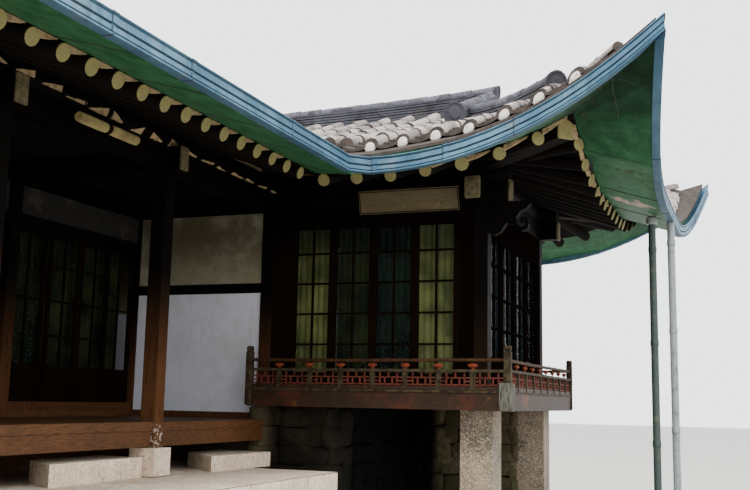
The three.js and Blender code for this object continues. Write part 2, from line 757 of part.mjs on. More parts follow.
const SILL_TOP = 1480;
const LEAF_T = 36;
const LEAF_FOOT = 330;
const SLIDE_X = INNER_X + 21;
const FIXED_X = INNER_X - 26;

// Fixed leaves of the bays, with the sill and the head rail they stand between
function bayLeaves(from, to, count) {
  const width = (to - from) / count;
  return Array.from({ length: count }, (_, i) => {
    const y0 = from + i * width;
    return leafAcrossX(FIXED_X, y0, y0 + width, SILL_TOP, DOOR_HEAD, LEAF_T, 1, LEAF_FOOT);
  });
}
const FIRST_FROM = gridY[1] + HALF;
const FIRST_TO = 0;
const LEAF_W = (FIRST_TO - FIRST_FROM) / 4;
const fixedLeaves = [
  ...bayLeaves(FIRST_FROM, FIRST_FROM + LEAF_W, 1),
  ...bayLeaves(FIRST_TO - LEAF_W, FIRST_TO, 1),
  ...[1, 2, 3].flatMap((i) => bayLeaves(gridY[i + 1] + HALF, gridY[i] - HALF, 4)),
];
const sillRun = box(INNER_X - 50, INNER_X + 50, END_Y + HALF, 0, FLOOR_Z, SILL_TOP);
const headRun = box(INNER_X - 50, INNER_X + 50, END_Y + HALF, 0, DOOR_HEAD, 3400 - GAP);
const screenRuns = joined([
  box(INNER_X - 44, INNER_X - 8, END_Y + HALF, 0, FLOOR_Z + 40, SILL_TOP),
  box(INNER_X - 44, INNER_X - 8, END_Y + HALF, 0, DOOR_HEAD, DOOR_HEAD + 60),
]);
pieces.doors_fixed = joined([screenRuns, ...fixedLeaves]);
const screenCut = joined([
  box(INNER_X - 44 - GAP, INNER_X - 8 + GAP, END_Y + HALF - GAP, GAP, FLOOR_Z + 40 - GAP, DOOR_HEAD + 60 + GAP),
]);
const TRACK_Z = SILL_TOP - 4;
const leaf = (y0, y1) => leafAcrossX(SLIDE_X, y0, y1, TRACK_Z + GAP, DOOR_HEAD - 6, LEAF_T, 3, LEAF_FOOT);
const DOOR_MID = (FIRST_FROM + FIRST_TO) / 2;
pieces.door_left = leaf(DOOR_MID - LEAF_W, DOOR_MID - 3);
pieces.door_right = leaf(DOOR_MID + 3, DOOR_MID + LEAF_W);
pieces.glass_doors = box(
  INNER_X - HALF - 8,
  INNER_X - HALF - GAP,
  END_Y + HALF + GAP,
  FIRST_FROM + LEAF_W - 30,
  SILL_TOP + LEAF_FOOT,
  DOOR_HEAD,
);

// Porch rails: sill and head of the doors, and the floor beam with the board under it
const porchPosts = gridY.slice(1).map((y) => post(COURT_X, y, POST, BASE_Z, BEAM_LOW_Z + 10));
const insidePosts = [...gridY].map((y) => post(INNER_X, y, POST, FLOOR_Z - 90, BEAM_LOW_Z + 10));
const backPosts = [...gridY, REAR_Y].map((y) => post(BACK_X, y, POST, FLOOR_Z - 90, BEAM_LOW_Z + 10));
const northPosts = [post(INNER_X, REAR_Y, POST, FLOOR_Z - 90, BEAM_LOW_Z + 10)];
const pavilionPosts = [
  [COURT_X, FRONT_Y],
  [COURT_X, REAR_Y],
  [SIDE_X, FRONT_Y],
  [SIDE_X, REAR_Y],
].map(([x, y]) => post(x, y, POST, PAVILION_FLOOR_Z, BEAM_LOW_Z + 10));

const HEAD = 300;
function beamAlongY(x, y0, y1, low = BEAM_LOW_Z, high = BEAM_TOP_Z) {
  return box(x - 65, x + 65, y0, y1, low, high);
}
function beamAlongX(y, x0, x1, low = BEAM_LOW_Z, high = BEAM_TOP_Z) {
  return box(x0, x1, y - 65, y + 65, low, high);
}
const topBeams = [
  beamAlongY(COURT_X, END_Y - HEAD, FRONT_Y),
  beamAlongY(INNER_X, END_Y, FRONT_Y),
  beamAlongY(BACK_X, END_Y - HEAD, REAR_Y + HEAD),
  beamAlongY(SIDE_X, FRONT_Y - HEAD - 75, REAR_Y + HEAD),
  beamAlongX(FRONT_Y, INNER_X, SIDE_X + HEAD),
  beamAlongX(REAR_Y, BACK_X - HEAD, SIDE_X + HEAD),
  ...gridY.slice(1).map((y) => beamAlongX(y, BACK_X - HEAD, COURT_X + 210)),
];
const lowBeams = [
  beamAlongY(BACK_X, END_Y, REAR_Y, FLOOR_Z, WALL_LOW),
  beamAlongX(END_Y, BACK_X, INNER_X, FLOOR_Z, WALL_LOW),
  beamAlongX(REAR_Y, BACK_X, -GAP, FLOOR_Z, WALL_LOW),
  box(INNER_X, COURT_X - HALF + 1, 14, 49.7, RAIL_LOW, RAIL_TOP),
  box(INNER_X, -GAP, 14, 90, 1331, 1399.5),
];
const timber = joined([
  ...porchPosts,
  ...insidePosts,
  ...backPosts,
  ...northPosts,
  ...pavilionPosts,
  ...topBeams,
  ...lowBeams,
  sillRun,
  headRun,
  purlins,
]);
pieces.timber_frame = without(timber, [
  backWall(GAP),
  endWall(GAP),
  northWall(GAP),
  whiteWall(GAP).subtract(box(INNER_X, COURT_X - HALF + 1, 10, 49.7, RAIL_LOW, RAIL_TOP)),
  overDoors(GAP),
  screenCut,
  box(SLIDE_X - 26, SLIDE_X + 26, FIRST_FROM, FIRST_TO, TRACK_Z, DOOR_HEAD + 4),
]);

// Ground works: the terrace with its post stones, the plinth under the rooms, and the steps
const TERRACE_X = 1280;
const TERRACE_END_Y = -600;
const stones = gridY.slice(1).map((y) => post(COURT_X, y, 270, TERRACE_Z - 10, BASE_Z - GAP));
pieces.terrace = joined([
  box(BACK_X - 700, TERRACE_X, END_Y - 800, TERRACE_END_Y, 0, TERRACE_Z),
  box(BACK_X - 700, -GAP, TERRACE_END_Y - 1, REAR_Y + 700, 0, TERRACE_Z),
  ...stones,
]);
pieces.plinth = joined([
  box(BACK_X - 110, INNER_X + 110, END_Y - 110, REAR_Y + 110, TERRACE_Z + GAP, FLOOR_Z - 90 - GAP),
  box(INNER_X + 100, -GAP, 0, REAR_Y + 110, TERRACE_Z + GAP, FLOOR_Z - 90 - GAP),
]);
pieces.floor_rooms = without(
  joined([
    box(BACK_X - 65, INNER_X + 50, END_Y - 65, REAR_Y + 65, FLOOR_Z - 90, FLOOR_Z - GAP),
    box(INNER_X, -GAP, 14, REAR_Y + 65, FLOOR_Z - 90, FLOOR_Z - 50 - GAP),
  ]),
  [joined([...insidePosts, ...backPosts, ...northPosts]).add(
    joined([...gridY.flatMap((y) => [post(INNER_X, y, POST + 1, 1200, 1500), post(BACK_X, y, POST + 1, 1200, 1500)]),
      post(BACK_X, REAR_Y, POST + 1, 1200, 1500),
      post(INNER_X, REAR_Y, POST + 1, 1200, 1500),
      post(COURT_X, REAR_Y, POST + 1, 1200, 1500),
    ]),
  )],
);
const porchNotches = gridY.slice(1).map((y) => post(COURT_X, y, POST + 2 * GAP, 1000, 1500));
pieces.floor_porch = without(
  joined([
    box(INNER_X + 115, COURT_X + 60, END_Y - 60, -GAP, PORCH_Z - 40, PORCH_Z),
    box(COURT_X - 10, COURT_X + 60, END_Y - 60, -GAP, PORCH_Z - 80, PORCH_Z),
    box(COURT_X + 5, COURT_X + 45, END_Y - 60, -GAP, 1100, PORCH_Z - 60),
    box(INNER_X + 115, INNER_X + 175, END_Y - 60, -GAP, TERRACE_Z + GAP, PORCH_Z - 20),
  ]),
  porchNotches,
);
const LONG_STEP = [
  [-350, -3320],
  [147, -3687],
  [95, -2345],
  [-350, -2345],
];
const SHORT_STEP = [
  [-350, -840],
  [252, -1380],
  [303, -203],
  [-350, -203],
];
pieces.step_long = prism(LONG_STEP, TERRACE_Z + GAP, 1010);
pieces.step_short = prism(SHORT_STEP, TERRACE_Z + GAP, 983);

// Raised pavilion: field-stone foundation, granite pillars, floor frame with the balcony edge
const DECK_LOW = 1480;
const RAIL_Y = -270;
const RAIL_X = 2960;
const RAIL_END_Y = REAR_Y + HALF + 270;
const foundation = joined([
  box(0, 900, 10, REAR_Y + 90, 0, DECK_LOW - GAP),
  box(899, SIDE_X - 240, REAR_Y - 200, REAR_Y + 90, 0, DECK_LOW - GAP),
]);
pieces.foundation = foundation;
pieces.pillar_front = post(SIDE_X - 30, FRONT_Y + 60, 350, 0, DECK_LOW - GAP);
pieces.pillar_back = post(SIDE_X - 30, REAR_Y - 60, 350, 0, DECK_LOW - GAP);
const EDGE = 45;
const balcony = box(40, RAIL_X + EDGE, RAIL_Y - EDGE, RAIL_END_Y + EDGE, DECK_LOW, PAVILION_FLOOR_Z - GAP);
const bayHollow = (x0, x1, y0, y1) => box(x0, x1, y0, y1, DECK_LOW - 1, 1650);
const midX = (COURT_X + SIDE_X) / 2;
const hollows = [
  [COURT_X + 66, midX - 65],
  [midX + 65, SIDE_X - 65],
  [SIDE_X + 65, RAIL_X - EDGE],
];
const hollowRows = [
  [RAIL_Y + EDGE, FRONT_Y - 65],
  [FRONT_Y + 65, REAR_Y - 65],
  [REAR_Y + 65, RAIL_END_Y - EDGE],
];
pieces.floor_pavilion = without(
  balcony,
  hollows.flatMap(([x0, x1]) => hollowRows.map(([y0, y1]) => bayHollow(x0, x1, y0, y1))),
);

// Balcony rail: posts with squares of lattice, a thin round handrail on lotus brackets
const NEWEL = 75;
const LATTICE_LOW = 1722;
const LATTICE_TOP = 1935;
const HANDRAIL_Z = 2000;

function railSpan(from, to, panels) {
  const [x0, y0] = from;
  const dx = (to[0] - x0) / panels;
  const dy = (to[1] - y0) / panels;
  const long = Math.hypot(dx, dy) * panels;
  const u = [dx / Math.hypot(dx, dy), dy / Math.hypot(dx, dy)];
  const run = (a, b, half, z0, z1) => {
    const p = [x0 + u[0] * a, y0 + u[1] * a];
    const q = [x0 + u[0] * b, y0 + u[1] * b];
    return box(
      Math.min(p[0], q[0]) - half * Math.abs(u[1]),
      Math.max(p[0], q[0]) + half * Math.abs(u[1]),
      Math.min(p[1], q[1]) - half * Math.abs(u[0]),
      Math.max(p[1], q[1]) + half * Math.abs(u[0]),
      z0,
      z1,
    );
  };
  const step = long / panels;
  const latticeZ = (LATTICE_LOW + LATTICE_TOP - 17) / 2;
  const made = [
    run(0, long, 10, latticeZ - 8, latticeZ + 8),
    run(0, long, 22, LATTICE_LOW - 2, LATTICE_LOW + 18),
    run(0, long, 25, LATTICE_TOP - 35, LATTICE_TOP),
    log([x0, y0, HANDRAIL_Z], [to[0], to[1], HANDRAIL_Z], 20, 6),
  ];
  for (let i = 0; i <= panels; i += 1) {
    const at = i * step;
    if (i > 0 && i < panels) made.push(run(at - 17, at + 17, 22, LATTICE_LOW - 2, LATTICE_TOP));
    if (i > 0 && i < panels) made.push(run(at - 40, at + 40, 18, LATTICE_TOP - 1, HANDRAIL_Z - 8));
  }
  return joined(made);
}
const corners = [
  [45, RAIL_Y],
  [RAIL_X, RAIL_Y],
  [RAIL_X, RAIL_END_Y],
  [45, RAIL_END_Y],
];
pieces.railing = joined([
  railSpan(corners[0], corners[1], 8),
  railSpan(corners[1], corners[2], 9),
  railSpan(corners[3], corners[2], 8),
  ...corners.map(([x, y]) => post(x, y, NEWEL, PAVILION_FLOOR_Z, 2130)),
]);

// Pavilion screens: sliding glazed leaves at the front, windows at the side and the back
function leafAcrossY(y, x0, x1, z0, z1, thick, bars, foot) {
  const turned = leafAcrossX(y, x0, x1, z0, z1, thick, bars, foot);
  return turned.transform([0, 1, 0, 0, 1, 0, 0, 0, 0, 0, 1, 0, 0, 0, 0, 1]);
}
const LEAVES_FROM = 400;
const LEAVES_TO = 2355;
const PAVILION_HEAD = 3540;
const LEAVES = 4;
const frontLeaves = Array.from({ length: LEAVES }, (_, i) => {
  const width = (LEAVES_TO - LEAVES_FROM) / LEAVES;
  const x0 = LEAVES_FROM + i * width;
  return leafAcrossY(45, x0, x0 + width, 1800, PAVILION_HEAD, 40, 4, 0);
});
pieces.screen_front = joined([
  ...frontLeaves,
  box(COURT_X + HALF + GAP, LEAVES_FROM + 2, 10, 100, PAVILION_FLOOR_Z, BEAM_LOW_Z - GAP),
  box(LEAVES_TO - 2, SIDE_X - HALF - GAP, 10, 100, PAVILION_FLOOR_Z, BEAM_LOW_Z - GAP),
  box(LEAVES_FROM, LEAVES_TO, 10, 100, PAVILION_HEAD - 2, BEAM_LOW_Z - GAP),
  box(LEAVES_FROM, LEAVES_TO, 10, 100, PAVILION_FLOOR_Z, 1802),
]);
const sideY0 = FRONT_Y + HALF + GAP;
const sideY1 = REAR_Y - HALF - GAP;
const sideWidth = (sideY1 - sideY0) / 4;
pieces.screen_side = joined([
  ...[0, 1, 2, 3].map((i) =>
    leafAcrossX(SIDE_X + 20, sideY0 + i * sideWidth, sideY0 + (i + 1) * sideWidth, 1990, 3420, 40, 3, 0),
  ),
  box(SIDE_X - 30, SIDE_X + 60, sideY0, sideY1, 3418, BEAM_LOW_Z - GAP),
  box(SIDE_X - 30, SIDE_X + 60, sideY0, sideY1, PAVILION_FLOOR_Z, 1992),
]);
const rearX0 = COURT_X + HALF + GAP;
const rearX1 = SIDE_X - HALF - GAP;
const rearWidth = (rearX1 - rearX0) / 4;
pieces.screen_rear = joined([
  ...[0, 1, 2, 3].map((i) =>
    leafAcrossY(REAR_Y + 20, rearX0 + i * rearWidth, rearX0 + (i + 1) * rearWidth, 1990, 3420, 40, 3, 0),
  ),
  box(rearX0, rearX1, REAR_Y - 30, REAR_Y + 60, 3418, BEAM_LOW_Z - GAP),
  box(rearX0, rearX1, REAR_Y - 30, REAR_Y + 60, PAVILION_FLOOR_Z, 1992),
]);
pieces.glass_front = box(LEAVES_FROM + 20, LEAVES_TO - 20, 65 + GAP, 71, 1802 + GAP, PAVILION_HEAD - 2 - GAP);
pieces.glass_side = box(SIDE_X - 6, SIDE_X - GAP, sideY0 + 5, sideY1 - 5, 1992 + GAP, 3418 - GAP);
pieces.glass_rear = box(rearX0 + 5, rearX1 - 5, REAR_Y - 6, REAR_Y - GAP, 1992 + GAP, 3418 - GAP);

// Sign board, bare, leaning out under the front eave
const signFlat = box(1215, 2410, -18, 18, 0, 292);
pieces.sign_board = signFlat.rotate([14, 0, 0]).translate([0, -8 - GAP, 3600]);

// Rainwater pipes at the side eave: one up to the soffit, one up to the gutter
pieces.pipe_dark = joined([
  log([4270, 1250, 0], [4270, 1250, 3680], 42, 14),
  log([4270, 1250, 3585], [4270, 1250, 3665], 60, 14),
]);
pieces.pipe_pale = log([4457, 1460, 0], [4457, 1460, GUTTER_LOW - GAP], 42, 12);

// Points a cut leaves almost on top of each other made one, with the triangles that vanish between them
const SPECK = 0.12;
function withoutSpecks(geometry) {
  const at = geometry.getAttribute("position");
  const keep = Array.from({ length: at.count }, (_, i) => i);
  const root = (i) => (keep[i] === i ? i : root(keep[i]));
  const spots = Array.from(keep, (i) => new THREE.Vector3().fromBufferAttribute(at, i));
  const index = geometry.index.array;
  for (let i = 0; i < index.length; i += 3) {
    for (let e = 0; e < 3; e += 1) {
      const a = root(index[i + e]);
      const b = root(index[i + ((e + 1) % 3)]);
      if (a !== b && spots[a].distanceTo(spots[b]) < SPECK) keep[b] = a;
    }
  }
  const left = [];
  for (let i = 0; i < index.length; i += 3) {
    const [a, b, c] = [root(index[i]), root(index[i + 1]), root(index[i + 2])];
    if (a !== b && b !== c && c !== a) left.push(a, b, c);
  }
  const clean = new THREE.BufferGeometry();
  clean.setAttribute("position", at);
  clean.setIndex(left);
  return clean.toNonIndexed();
}

// Each piece as a named mesh, with the origin under the middle of the house
function meshOf(name, body) {
  const made = body.getMesh();
  const geometry = new THREE.BufferGeometry();
  geometry.setAttribute("position", new THREE.Float32BufferAttribute(made.vertProperties, 3));
  geometry.setIndex(Array.from(made.triVerts));
  const mesh = new THREE.Mesh(withoutSpecks(geometry));
  mesh.name = name;
  return mesh;
}
const group = new THREE.Group();
for (const [name, body] of Object.entries(pieces)) group.add(meshOf(name, body));
const bounds = new THREE.Box3().setFromObject(group);
const middle = bounds.getCenter(new THREE.Vector3());
group.position.set(-middle.x, -middle.y, -bounds.min.z);
export default group;
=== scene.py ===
import math
import random

import bpy
from mathutils import Matrix, Vector
from mathutils.bvhtree import BVHTree


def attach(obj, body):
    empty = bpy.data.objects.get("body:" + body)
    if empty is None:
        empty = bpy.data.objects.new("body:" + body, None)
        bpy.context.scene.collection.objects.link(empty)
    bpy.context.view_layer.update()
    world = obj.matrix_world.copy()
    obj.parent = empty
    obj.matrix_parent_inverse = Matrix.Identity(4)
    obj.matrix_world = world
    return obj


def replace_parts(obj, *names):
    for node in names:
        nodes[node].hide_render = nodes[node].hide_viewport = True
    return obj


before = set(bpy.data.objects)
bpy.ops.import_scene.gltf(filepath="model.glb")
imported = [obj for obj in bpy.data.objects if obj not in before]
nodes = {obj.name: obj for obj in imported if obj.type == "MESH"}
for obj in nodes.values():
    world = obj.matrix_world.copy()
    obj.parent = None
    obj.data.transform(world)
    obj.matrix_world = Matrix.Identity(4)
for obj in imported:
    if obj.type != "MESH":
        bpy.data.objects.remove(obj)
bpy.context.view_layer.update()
bpy.ops.object.select_all(action="DESELECT")
random.seed(7)

# Camera and light
# The house is seen from its courtyard, low down and close to the pavilion's free corner. Sizes here and
# below are measured from the inner corner of the walls, which lies off the middle of the plan.
MIDDLE = Vector((0.9249, 3.1368, 0))
eye = Vector((5.39, -10.23, 1.55)) + MIDDLE
yaw, pitch, roll = math.radians(21.275), math.radians(8.904), math.radians(1.139)
ahead = Vector((-math.sin(yaw) * math.cos(pitch), math.cos(yaw) * math.cos(pitch), math.sin(pitch)))
level_right = Vector((math.cos(yaw), math.sin(yaw), 0))
level_up = level_right.cross(ahead)
right = level_right * math.cos(roll) + level_up * math.sin(roll)
up = level_up * math.cos(roll) - level_right * math.sin(roll)
bpy.ops.object.camera_add()
camera = bpy.context.object
camera.data.lens = 47.95
camera.data.sensor_width = 36
camera.data.clip_end = 300
turned = Matrix((right, up, -ahead)).transposed()
camera.matrix_world = Matrix.Translation(eye) @ turned.to_4x4()
bpy.context.scene.camera = camera

world = bpy.data.worlds.new("soft_sky")
bpy.context.scene.world = world
world.use_nodes = True
world.node_tree.nodes["Background"].inputs["Color"].default_value = (0.96, 0.98, 1.0, 1)
world.node_tree.nodes["Background"].inputs["Strength"].default_value = 3.0


def soft_light(name, place, target, size, power):
    bpy.ops.object.light_add(type="AREA", location=Vector(place) + MIDDLE)
    lamp = bpy.context.object
    lamp.name = name
    lamp.data.size = size
    lamp.data.energy = power
    lamp.data.color = (1, 0.97, 0.93)
    aim = Vector(target) + MIDDLE - lamp.location
    lamp.rotation_euler = aim.to_track_quat("-Z", "Y").to_euler()


soft_light("front_light", (7, -14, 19), (0, -2, 1.5), 8, 6800)
soft_light("far_light", (-14, 12, 12), (-2, 0, 3), 10, 2000)


class Value:
    """A number or colour that runs through a material, so that it can be added and multiplied."""

    def __init__(self, paint, socket):
        self.paint = paint
        self.socket = socket

    def work(self, operation, *values):
        return self.paint.add("ShaderNodeMath", {"operation": operation}, values)

    def __add__(self, other):
        return self.work("ADD", self, other)

    __radd__ = __add__

    def __sub__(self, other):
        return self.work("SUBTRACT", self, other)

    def __rsub__(self, other):
        return self.work("SUBTRACT", other, self)

    def __mul__(self, other):
        return self.work("MULTIPLY", self, other)

    __rmul__ = __mul__

    def __gt__(self, other):
        return self.work("GREATER_THAN", self, other)

    def __lt__(self, other):
        return self.work("LESS_THAN", self, other)

    def most(self, other):
        return self.work("MAXIMUM", self, other)

    def every(self, step):
        return self.work("FRACT", self.work("DIVIDE", self, step))


class Paint:
    """A finish under way: its nodes, and the surface that they end in."""

    def __init__(self, name, **fixed):
        self.material = bpy.data.materials.new(name)
        self.material.use_nodes = True
        self.tree = self.material.node_tree
        self.shader = self.tree.nodes["Principled BSDF"]
        for socket, value in fixed.items():
            self.shader.inputs[socket.replace("_", " ")].default_value = value
        self.spot = self.add("ShaderNodeTexCoord", output="Object")

    def add(self, kind, settings=None, inputs=(), output=0):
        node = self.tree.nodes.new(kind)
        for key, value in (settings or {}).items():
            setattr(node, key, value)
        pairs = inputs.items() if isinstance(inputs, dict) else enumerate(inputs)
        for key, value in pairs:
            self.feed(node.inputs[key], value)
        return Value(self, node.outputs[output])

    def feed(self, socket, value):
        if isinstance(value, Value):
            self.tree.links.new(value.socket, socket)
        else:
            socket.default_value = value

    def stretched(self, x, y, z):
        return self.add("ShaderNodeMapping", inputs={"Vector": self.spot, "Scale": (x, y, z)})

    def along(self, axis, of=None):
        split = self.add("ShaderNodeSeparateXYZ", inputs=[of or self.spot], output=axis)
        return split

    def facing(self, axis):
        normal = self.add("ShaderNodeNewGeometry", output="Normal")
        return self.along(axis, normal)

    def noise(self, scale, detail=3, rough=0.55, at=None):
        inputs = {"Vector": at or self.spot, "Scale": scale, "Detail": detail, "Roughness": rough}
        return self.add("ShaderNodeTexNoise", inputs=inputs)

    def cell_tint(self, scale, channel=0):
        """A number that stays the same over each cell of a pattern."""
        inputs = {"Vector": self.spot, "Scale": scale}
        return self.along(channel, self.add("ShaderNodeTexVoronoi", {"feature": "F1"}, inputs, "Color"))

    def step(self, value, low, high):
        settings = {"interpolation_type": "SMOOTHSTEP"}
        return self.add("ShaderNodeMapRange", settings, {"Value": value, "From Min": low, "From Max": high})

    def near(self, place, reach):
        """1 at a place, falling to 0 at a distance from it."""
        away = self.add("ShaderNodeVectorMath", {"operation": "DISTANCE"}, [self.spot, place], "Value")
        return self.step(away, reach, 0.3 * reach)

    def mix(self, share, first, second):
        """Mixes two colours; each is a value, or red, green and blue out of 255."""
        first, second = (tone(*c) if isinstance(c, tuple) else c for c in (first, second))
        return self.add("ShaderNodeMix", {"data_type": "RGBA"}, {0: share, 6: first, 7: second}, 2)

    def over(self, base, *layers):
        """Lays colours over a base one after another, each by its share."""
        for share, colour in layers:
            base = self.mix(share, base, colour)
        return base

    def wear(self, colour, rough, height=None, depth=0.004, strength=0.6):
        self.feed(self.shader.inputs["Base Color"], colour)
        self.feed(self.shader.inputs["Roughness"], rough)
        if height is not None:
            settings = {"Strength": strength, "Distance": depth, "Height": height}
            bump = self.add("ShaderNodeBump", inputs=settings)
            self.feed(self.shader.inputs["Normal"], bump)
        return self.material


def tone(red, green, blue):
    shares = (red / 255, green / 255, blue / 255)
    linear = [c / 12.92 if c <= 0.04045 else ((c + 0.055) / 1.055) ** 2.4 for c in shares]
    return (*linear, 1)


def coat(material, *names):
    """Gives solids of the frame a finish."""
    for name in names:
        node = nodes[name]
        node.data.materials.clear()
        node.data.materials.append(material)


def worn_finish(name, pattern, span, sound, worn, rough, bump, specular=0.5, stretch=None):
    """A coat that goes from one colour to another where noise says that it has worn."""
    paint = Paint(name, Specular_IOR_Level=specular)
    wear = paint.noise(*pattern, paint.stretched(*stretch) if stretch else None)
    share = paint.step(wear, *span) if span else wear
    return paint.wear(paint.mix(share, sound, worn), rough, wear, *bump)


MESH = bpy.ops.mesh
ALL = (MESH.select_all, {"action": "SELECT"})
NONE = (MESH.select_all, {"action": "DESELECT"})
floor_finish = Paint("pale_floor").wear(tone(184, 181, 176), 0.9)
MESH.primitive_plane_add(size=160, location=(0, 0, -0.004))
ground = bpy.context.object
ground.name = "pale_floor"
ground.data.materials.append(floor_finish)


def painted(piece, *finishes):
    for finish in finishes:
        piece.data.materials.append(finish)
    return piece


def only(piece):
    """Picks this piece and no other."""
    bpy.ops.object.select_all(action="DESELECT")
    piece.select_set(True)
    bpy.context.view_layer.objects.active = piece


def edited(*work):
    """Runs mesh operators, each with its settings, on the active piece."""
    bpy.ops.object.mode_set(mode="EDIT")
    for operator, settings in work:
        operator(**settings)
    bpy.ops.object.mode_set(mode="OBJECT")


def outward(piece):
    only(piece)
    edited(ALL, (MESH.normals_make_consistent, {"inside": False}))
    return piece


def settled(piece, name, angle=None):
    """Puts a piece's place into its mesh, fixes it to the house, and smooths it below an angle."""
    piece.name = name
    only(piece)
    bpy.ops.object.transform_apply(location=True, rotation=True, scale=True)
    piece.data.transform(Matrix.Translation(MIDDLE))
    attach(piece, "house")
    if angle:
        bpy.ops.object.shade_smooth_by_angle(angle=math.radians(angle))
    return piece


def mesh_piece(name, points, faces, groups=None):
    mesh = bpy.data.meshes.new(name)
    mesh.from_pydata(points, [], faces)
    if groups:
        mesh.polygons.foreach_set("material_index", groups)
    mesh.update()
    piece = bpy.data.objects.new(name, mesh)
    bpy.context.collection.objects.link(piece)
    return piece


def copies(name, pattern, places, *finishes):
    """One piece from a pattern copied to many places; each place is a function that moves a point."""
    base = [tuple(v.co) for v in pattern.data.vertices]
    faces = [tuple(p.vertices) for p in pattern.data.polygons]
    kinds = [p.material_index for p in pattern.data.polygons]
    points = []
    polygons = []
    for place in places:
        first = len(points)
        points += [place(*p) for p in base]
        polygons += [tuple(first + i for i in face) for face in faces]
    return painted(mesh_piece(name, points, polygons, kinds * len(places)), *finishes)


def merged(name, parts):
    bpy.ops.object.select_all(action="DESELECT")
    for part in parts:
        part.select_set(True)
    bpy.context.view_layer.objects.active = parts[0]
    bpy.ops.object.join()
    parts[0].name = name
    return parts[0]


def assembled(name, parts, angle=None):
    return settled(merged(name, parts), name, angle)


def swept(name, rings, closed=False):
    """A skin over rings of points, with its two ends filled unless it runs round."""
    size = len(rings[0])
    points = [tuple(p) for ring in rings for p in ring]
    faces = []
    for i in range(len(rings) if closed else len(rings) - 1):
        a, b = i * size, (i + 1) % len(rings) * size
        for j in range(size):
            k = (j + 1) % size
            faces.append((a + j, a + k, b + k, b + j))
    if not closed:
        faces.append(tuple(reversed(range(size))))
        faces.append(tuple(range(len(points) - size, len(points))))
    return outward(mesh_piece(name, points, faces))


def bevelled(piece, width=0.006, segments=2):
    bevel = piece.modifiers.new("edge", "BEVEL")
    bevel.width = width
    bevel.segments = segments
    bevel.limit_method = "ANGLE"
    bpy.context.view_layer.objects.active = piece
    bpy.ops.object.modifier_apply(modifier=bevel.name)
    return piece


def beam(x0, x1, y0, y1, z0, z1, edge=0.006):
    """A squared timber or stone with eased edges."""
    bpy.ops.object.select_all(action="DESELECT")
    MESH.primitive_cube_add(size=1, location=((x0 + x1) / 2, (y0 + y1) / 2, (z0 + z1) / 2))
    piece = bpy.context.object
    piece.scale = (x1 - x0, y1 - y0, z1 - z0)
    bpy.ops.object.transform_apply(location=True, rotation=True, scale=True)
    return bevelled(piece, edge)


def stepped_end(sides, radius, depth, way, *insets):
    """A cylinder whose upper end (way 1) or lower end (way -1) is stepped by insets."""
    MESH.primitive_cylinder_add(vertices=sides, radius=radius, depth=depth)
    piece = bpy.context.object
    edited(NONE)
    for face in piece.data.polygons:
        face.select = face.normal.z * way > 0.9
    edited(*[(MESH.inset, {"thickness": wide, "depth": deep}) for wide, deep in insets])
    return piece

# Roof slopes
# Six slopes of clay tiles on bedded earth: the roof sags from ridge to eave, and the eaves turn up towards
# their corners. Each slope is known by a line along its eave, and a direction up from it.
UPTURN_STOPS = (0, 0.25, 0.55, 0.9, 1.3, 1.8, 2.65)


def smooth_upturn(s):
    return (1 - s / 2.65) ** 2.1 if s < 2.65 else 0.0


def upturn(s):
    if s >= 2.65:
        return 0.0
    if s <= 0:
        return 1.0
    low = max(stop for stop in UPTURN_STOPS if stop <= s)
    high = min(stop for stop in UPTURN_STOPS if stop > s)
    share = (s - low) / (high - low)
    return smooth_upturn(low) * (1 - share) + smooth_upturn(high) * share


def tile_top(d):
    return 4.0 + 0.3 * (d - 0.58) + 0.024 * (d - 0.58) ** 2


CORNER_X, CORNER_Y = 2.09, -2.03
EAST, WEST, SOUTH, NORTH = 4.7252, -6.575, -11.12, 4.8464
PAVILION_HALF, MAIN_HALF = 3.4382, 4.3325
GABLE_PAVILION, GABLE_MAIN = 2.31, 3.2
TILE_EDGE, EAVE_EDGE = 0.55, 0.36


class Slope:
    def __init__(self, origin, along, inward, length, lifted, outline, deep=0.18):
        self.origin = Vector((*origin, 0))
        self.along = Vector((*along, 0))
        self.inward = Vector((*inward, 0))
        self.length = length
        self.lifted = lifted
        self.outline = outline
        self.deep = deep

    def lift(self, s, rise=upturn):
        first = rise(s) if self.lifted[0] else 0
        second = rise(self.length - s) if self.lifted[1] else 0
        return first + second

    def spot(self, s, d, z):
        at = self.origin + self.along * s + self.inward * d
        return (at.x, at.y, z)

    def on_roof(self, s, d, height):
        return self.spot(s, d, tile_top(d) + self.lift(s) + height)

    def span(self, s):
        """Where a row of tiles at s starts and ends, up the slope."""
        hits = []
        for i, (s0, d0) in enumerate(self.outline):
            s1, d1 = self.outline[(i + 1) % len(self.outline)]
            if (s0 <= s) != (s1 <= s):
                hits.append(d0 + (d1 - d0) * (s - s0) / (s1 - s0))
        return (min(hits), max(hits)) if len(hits) > 1 else None


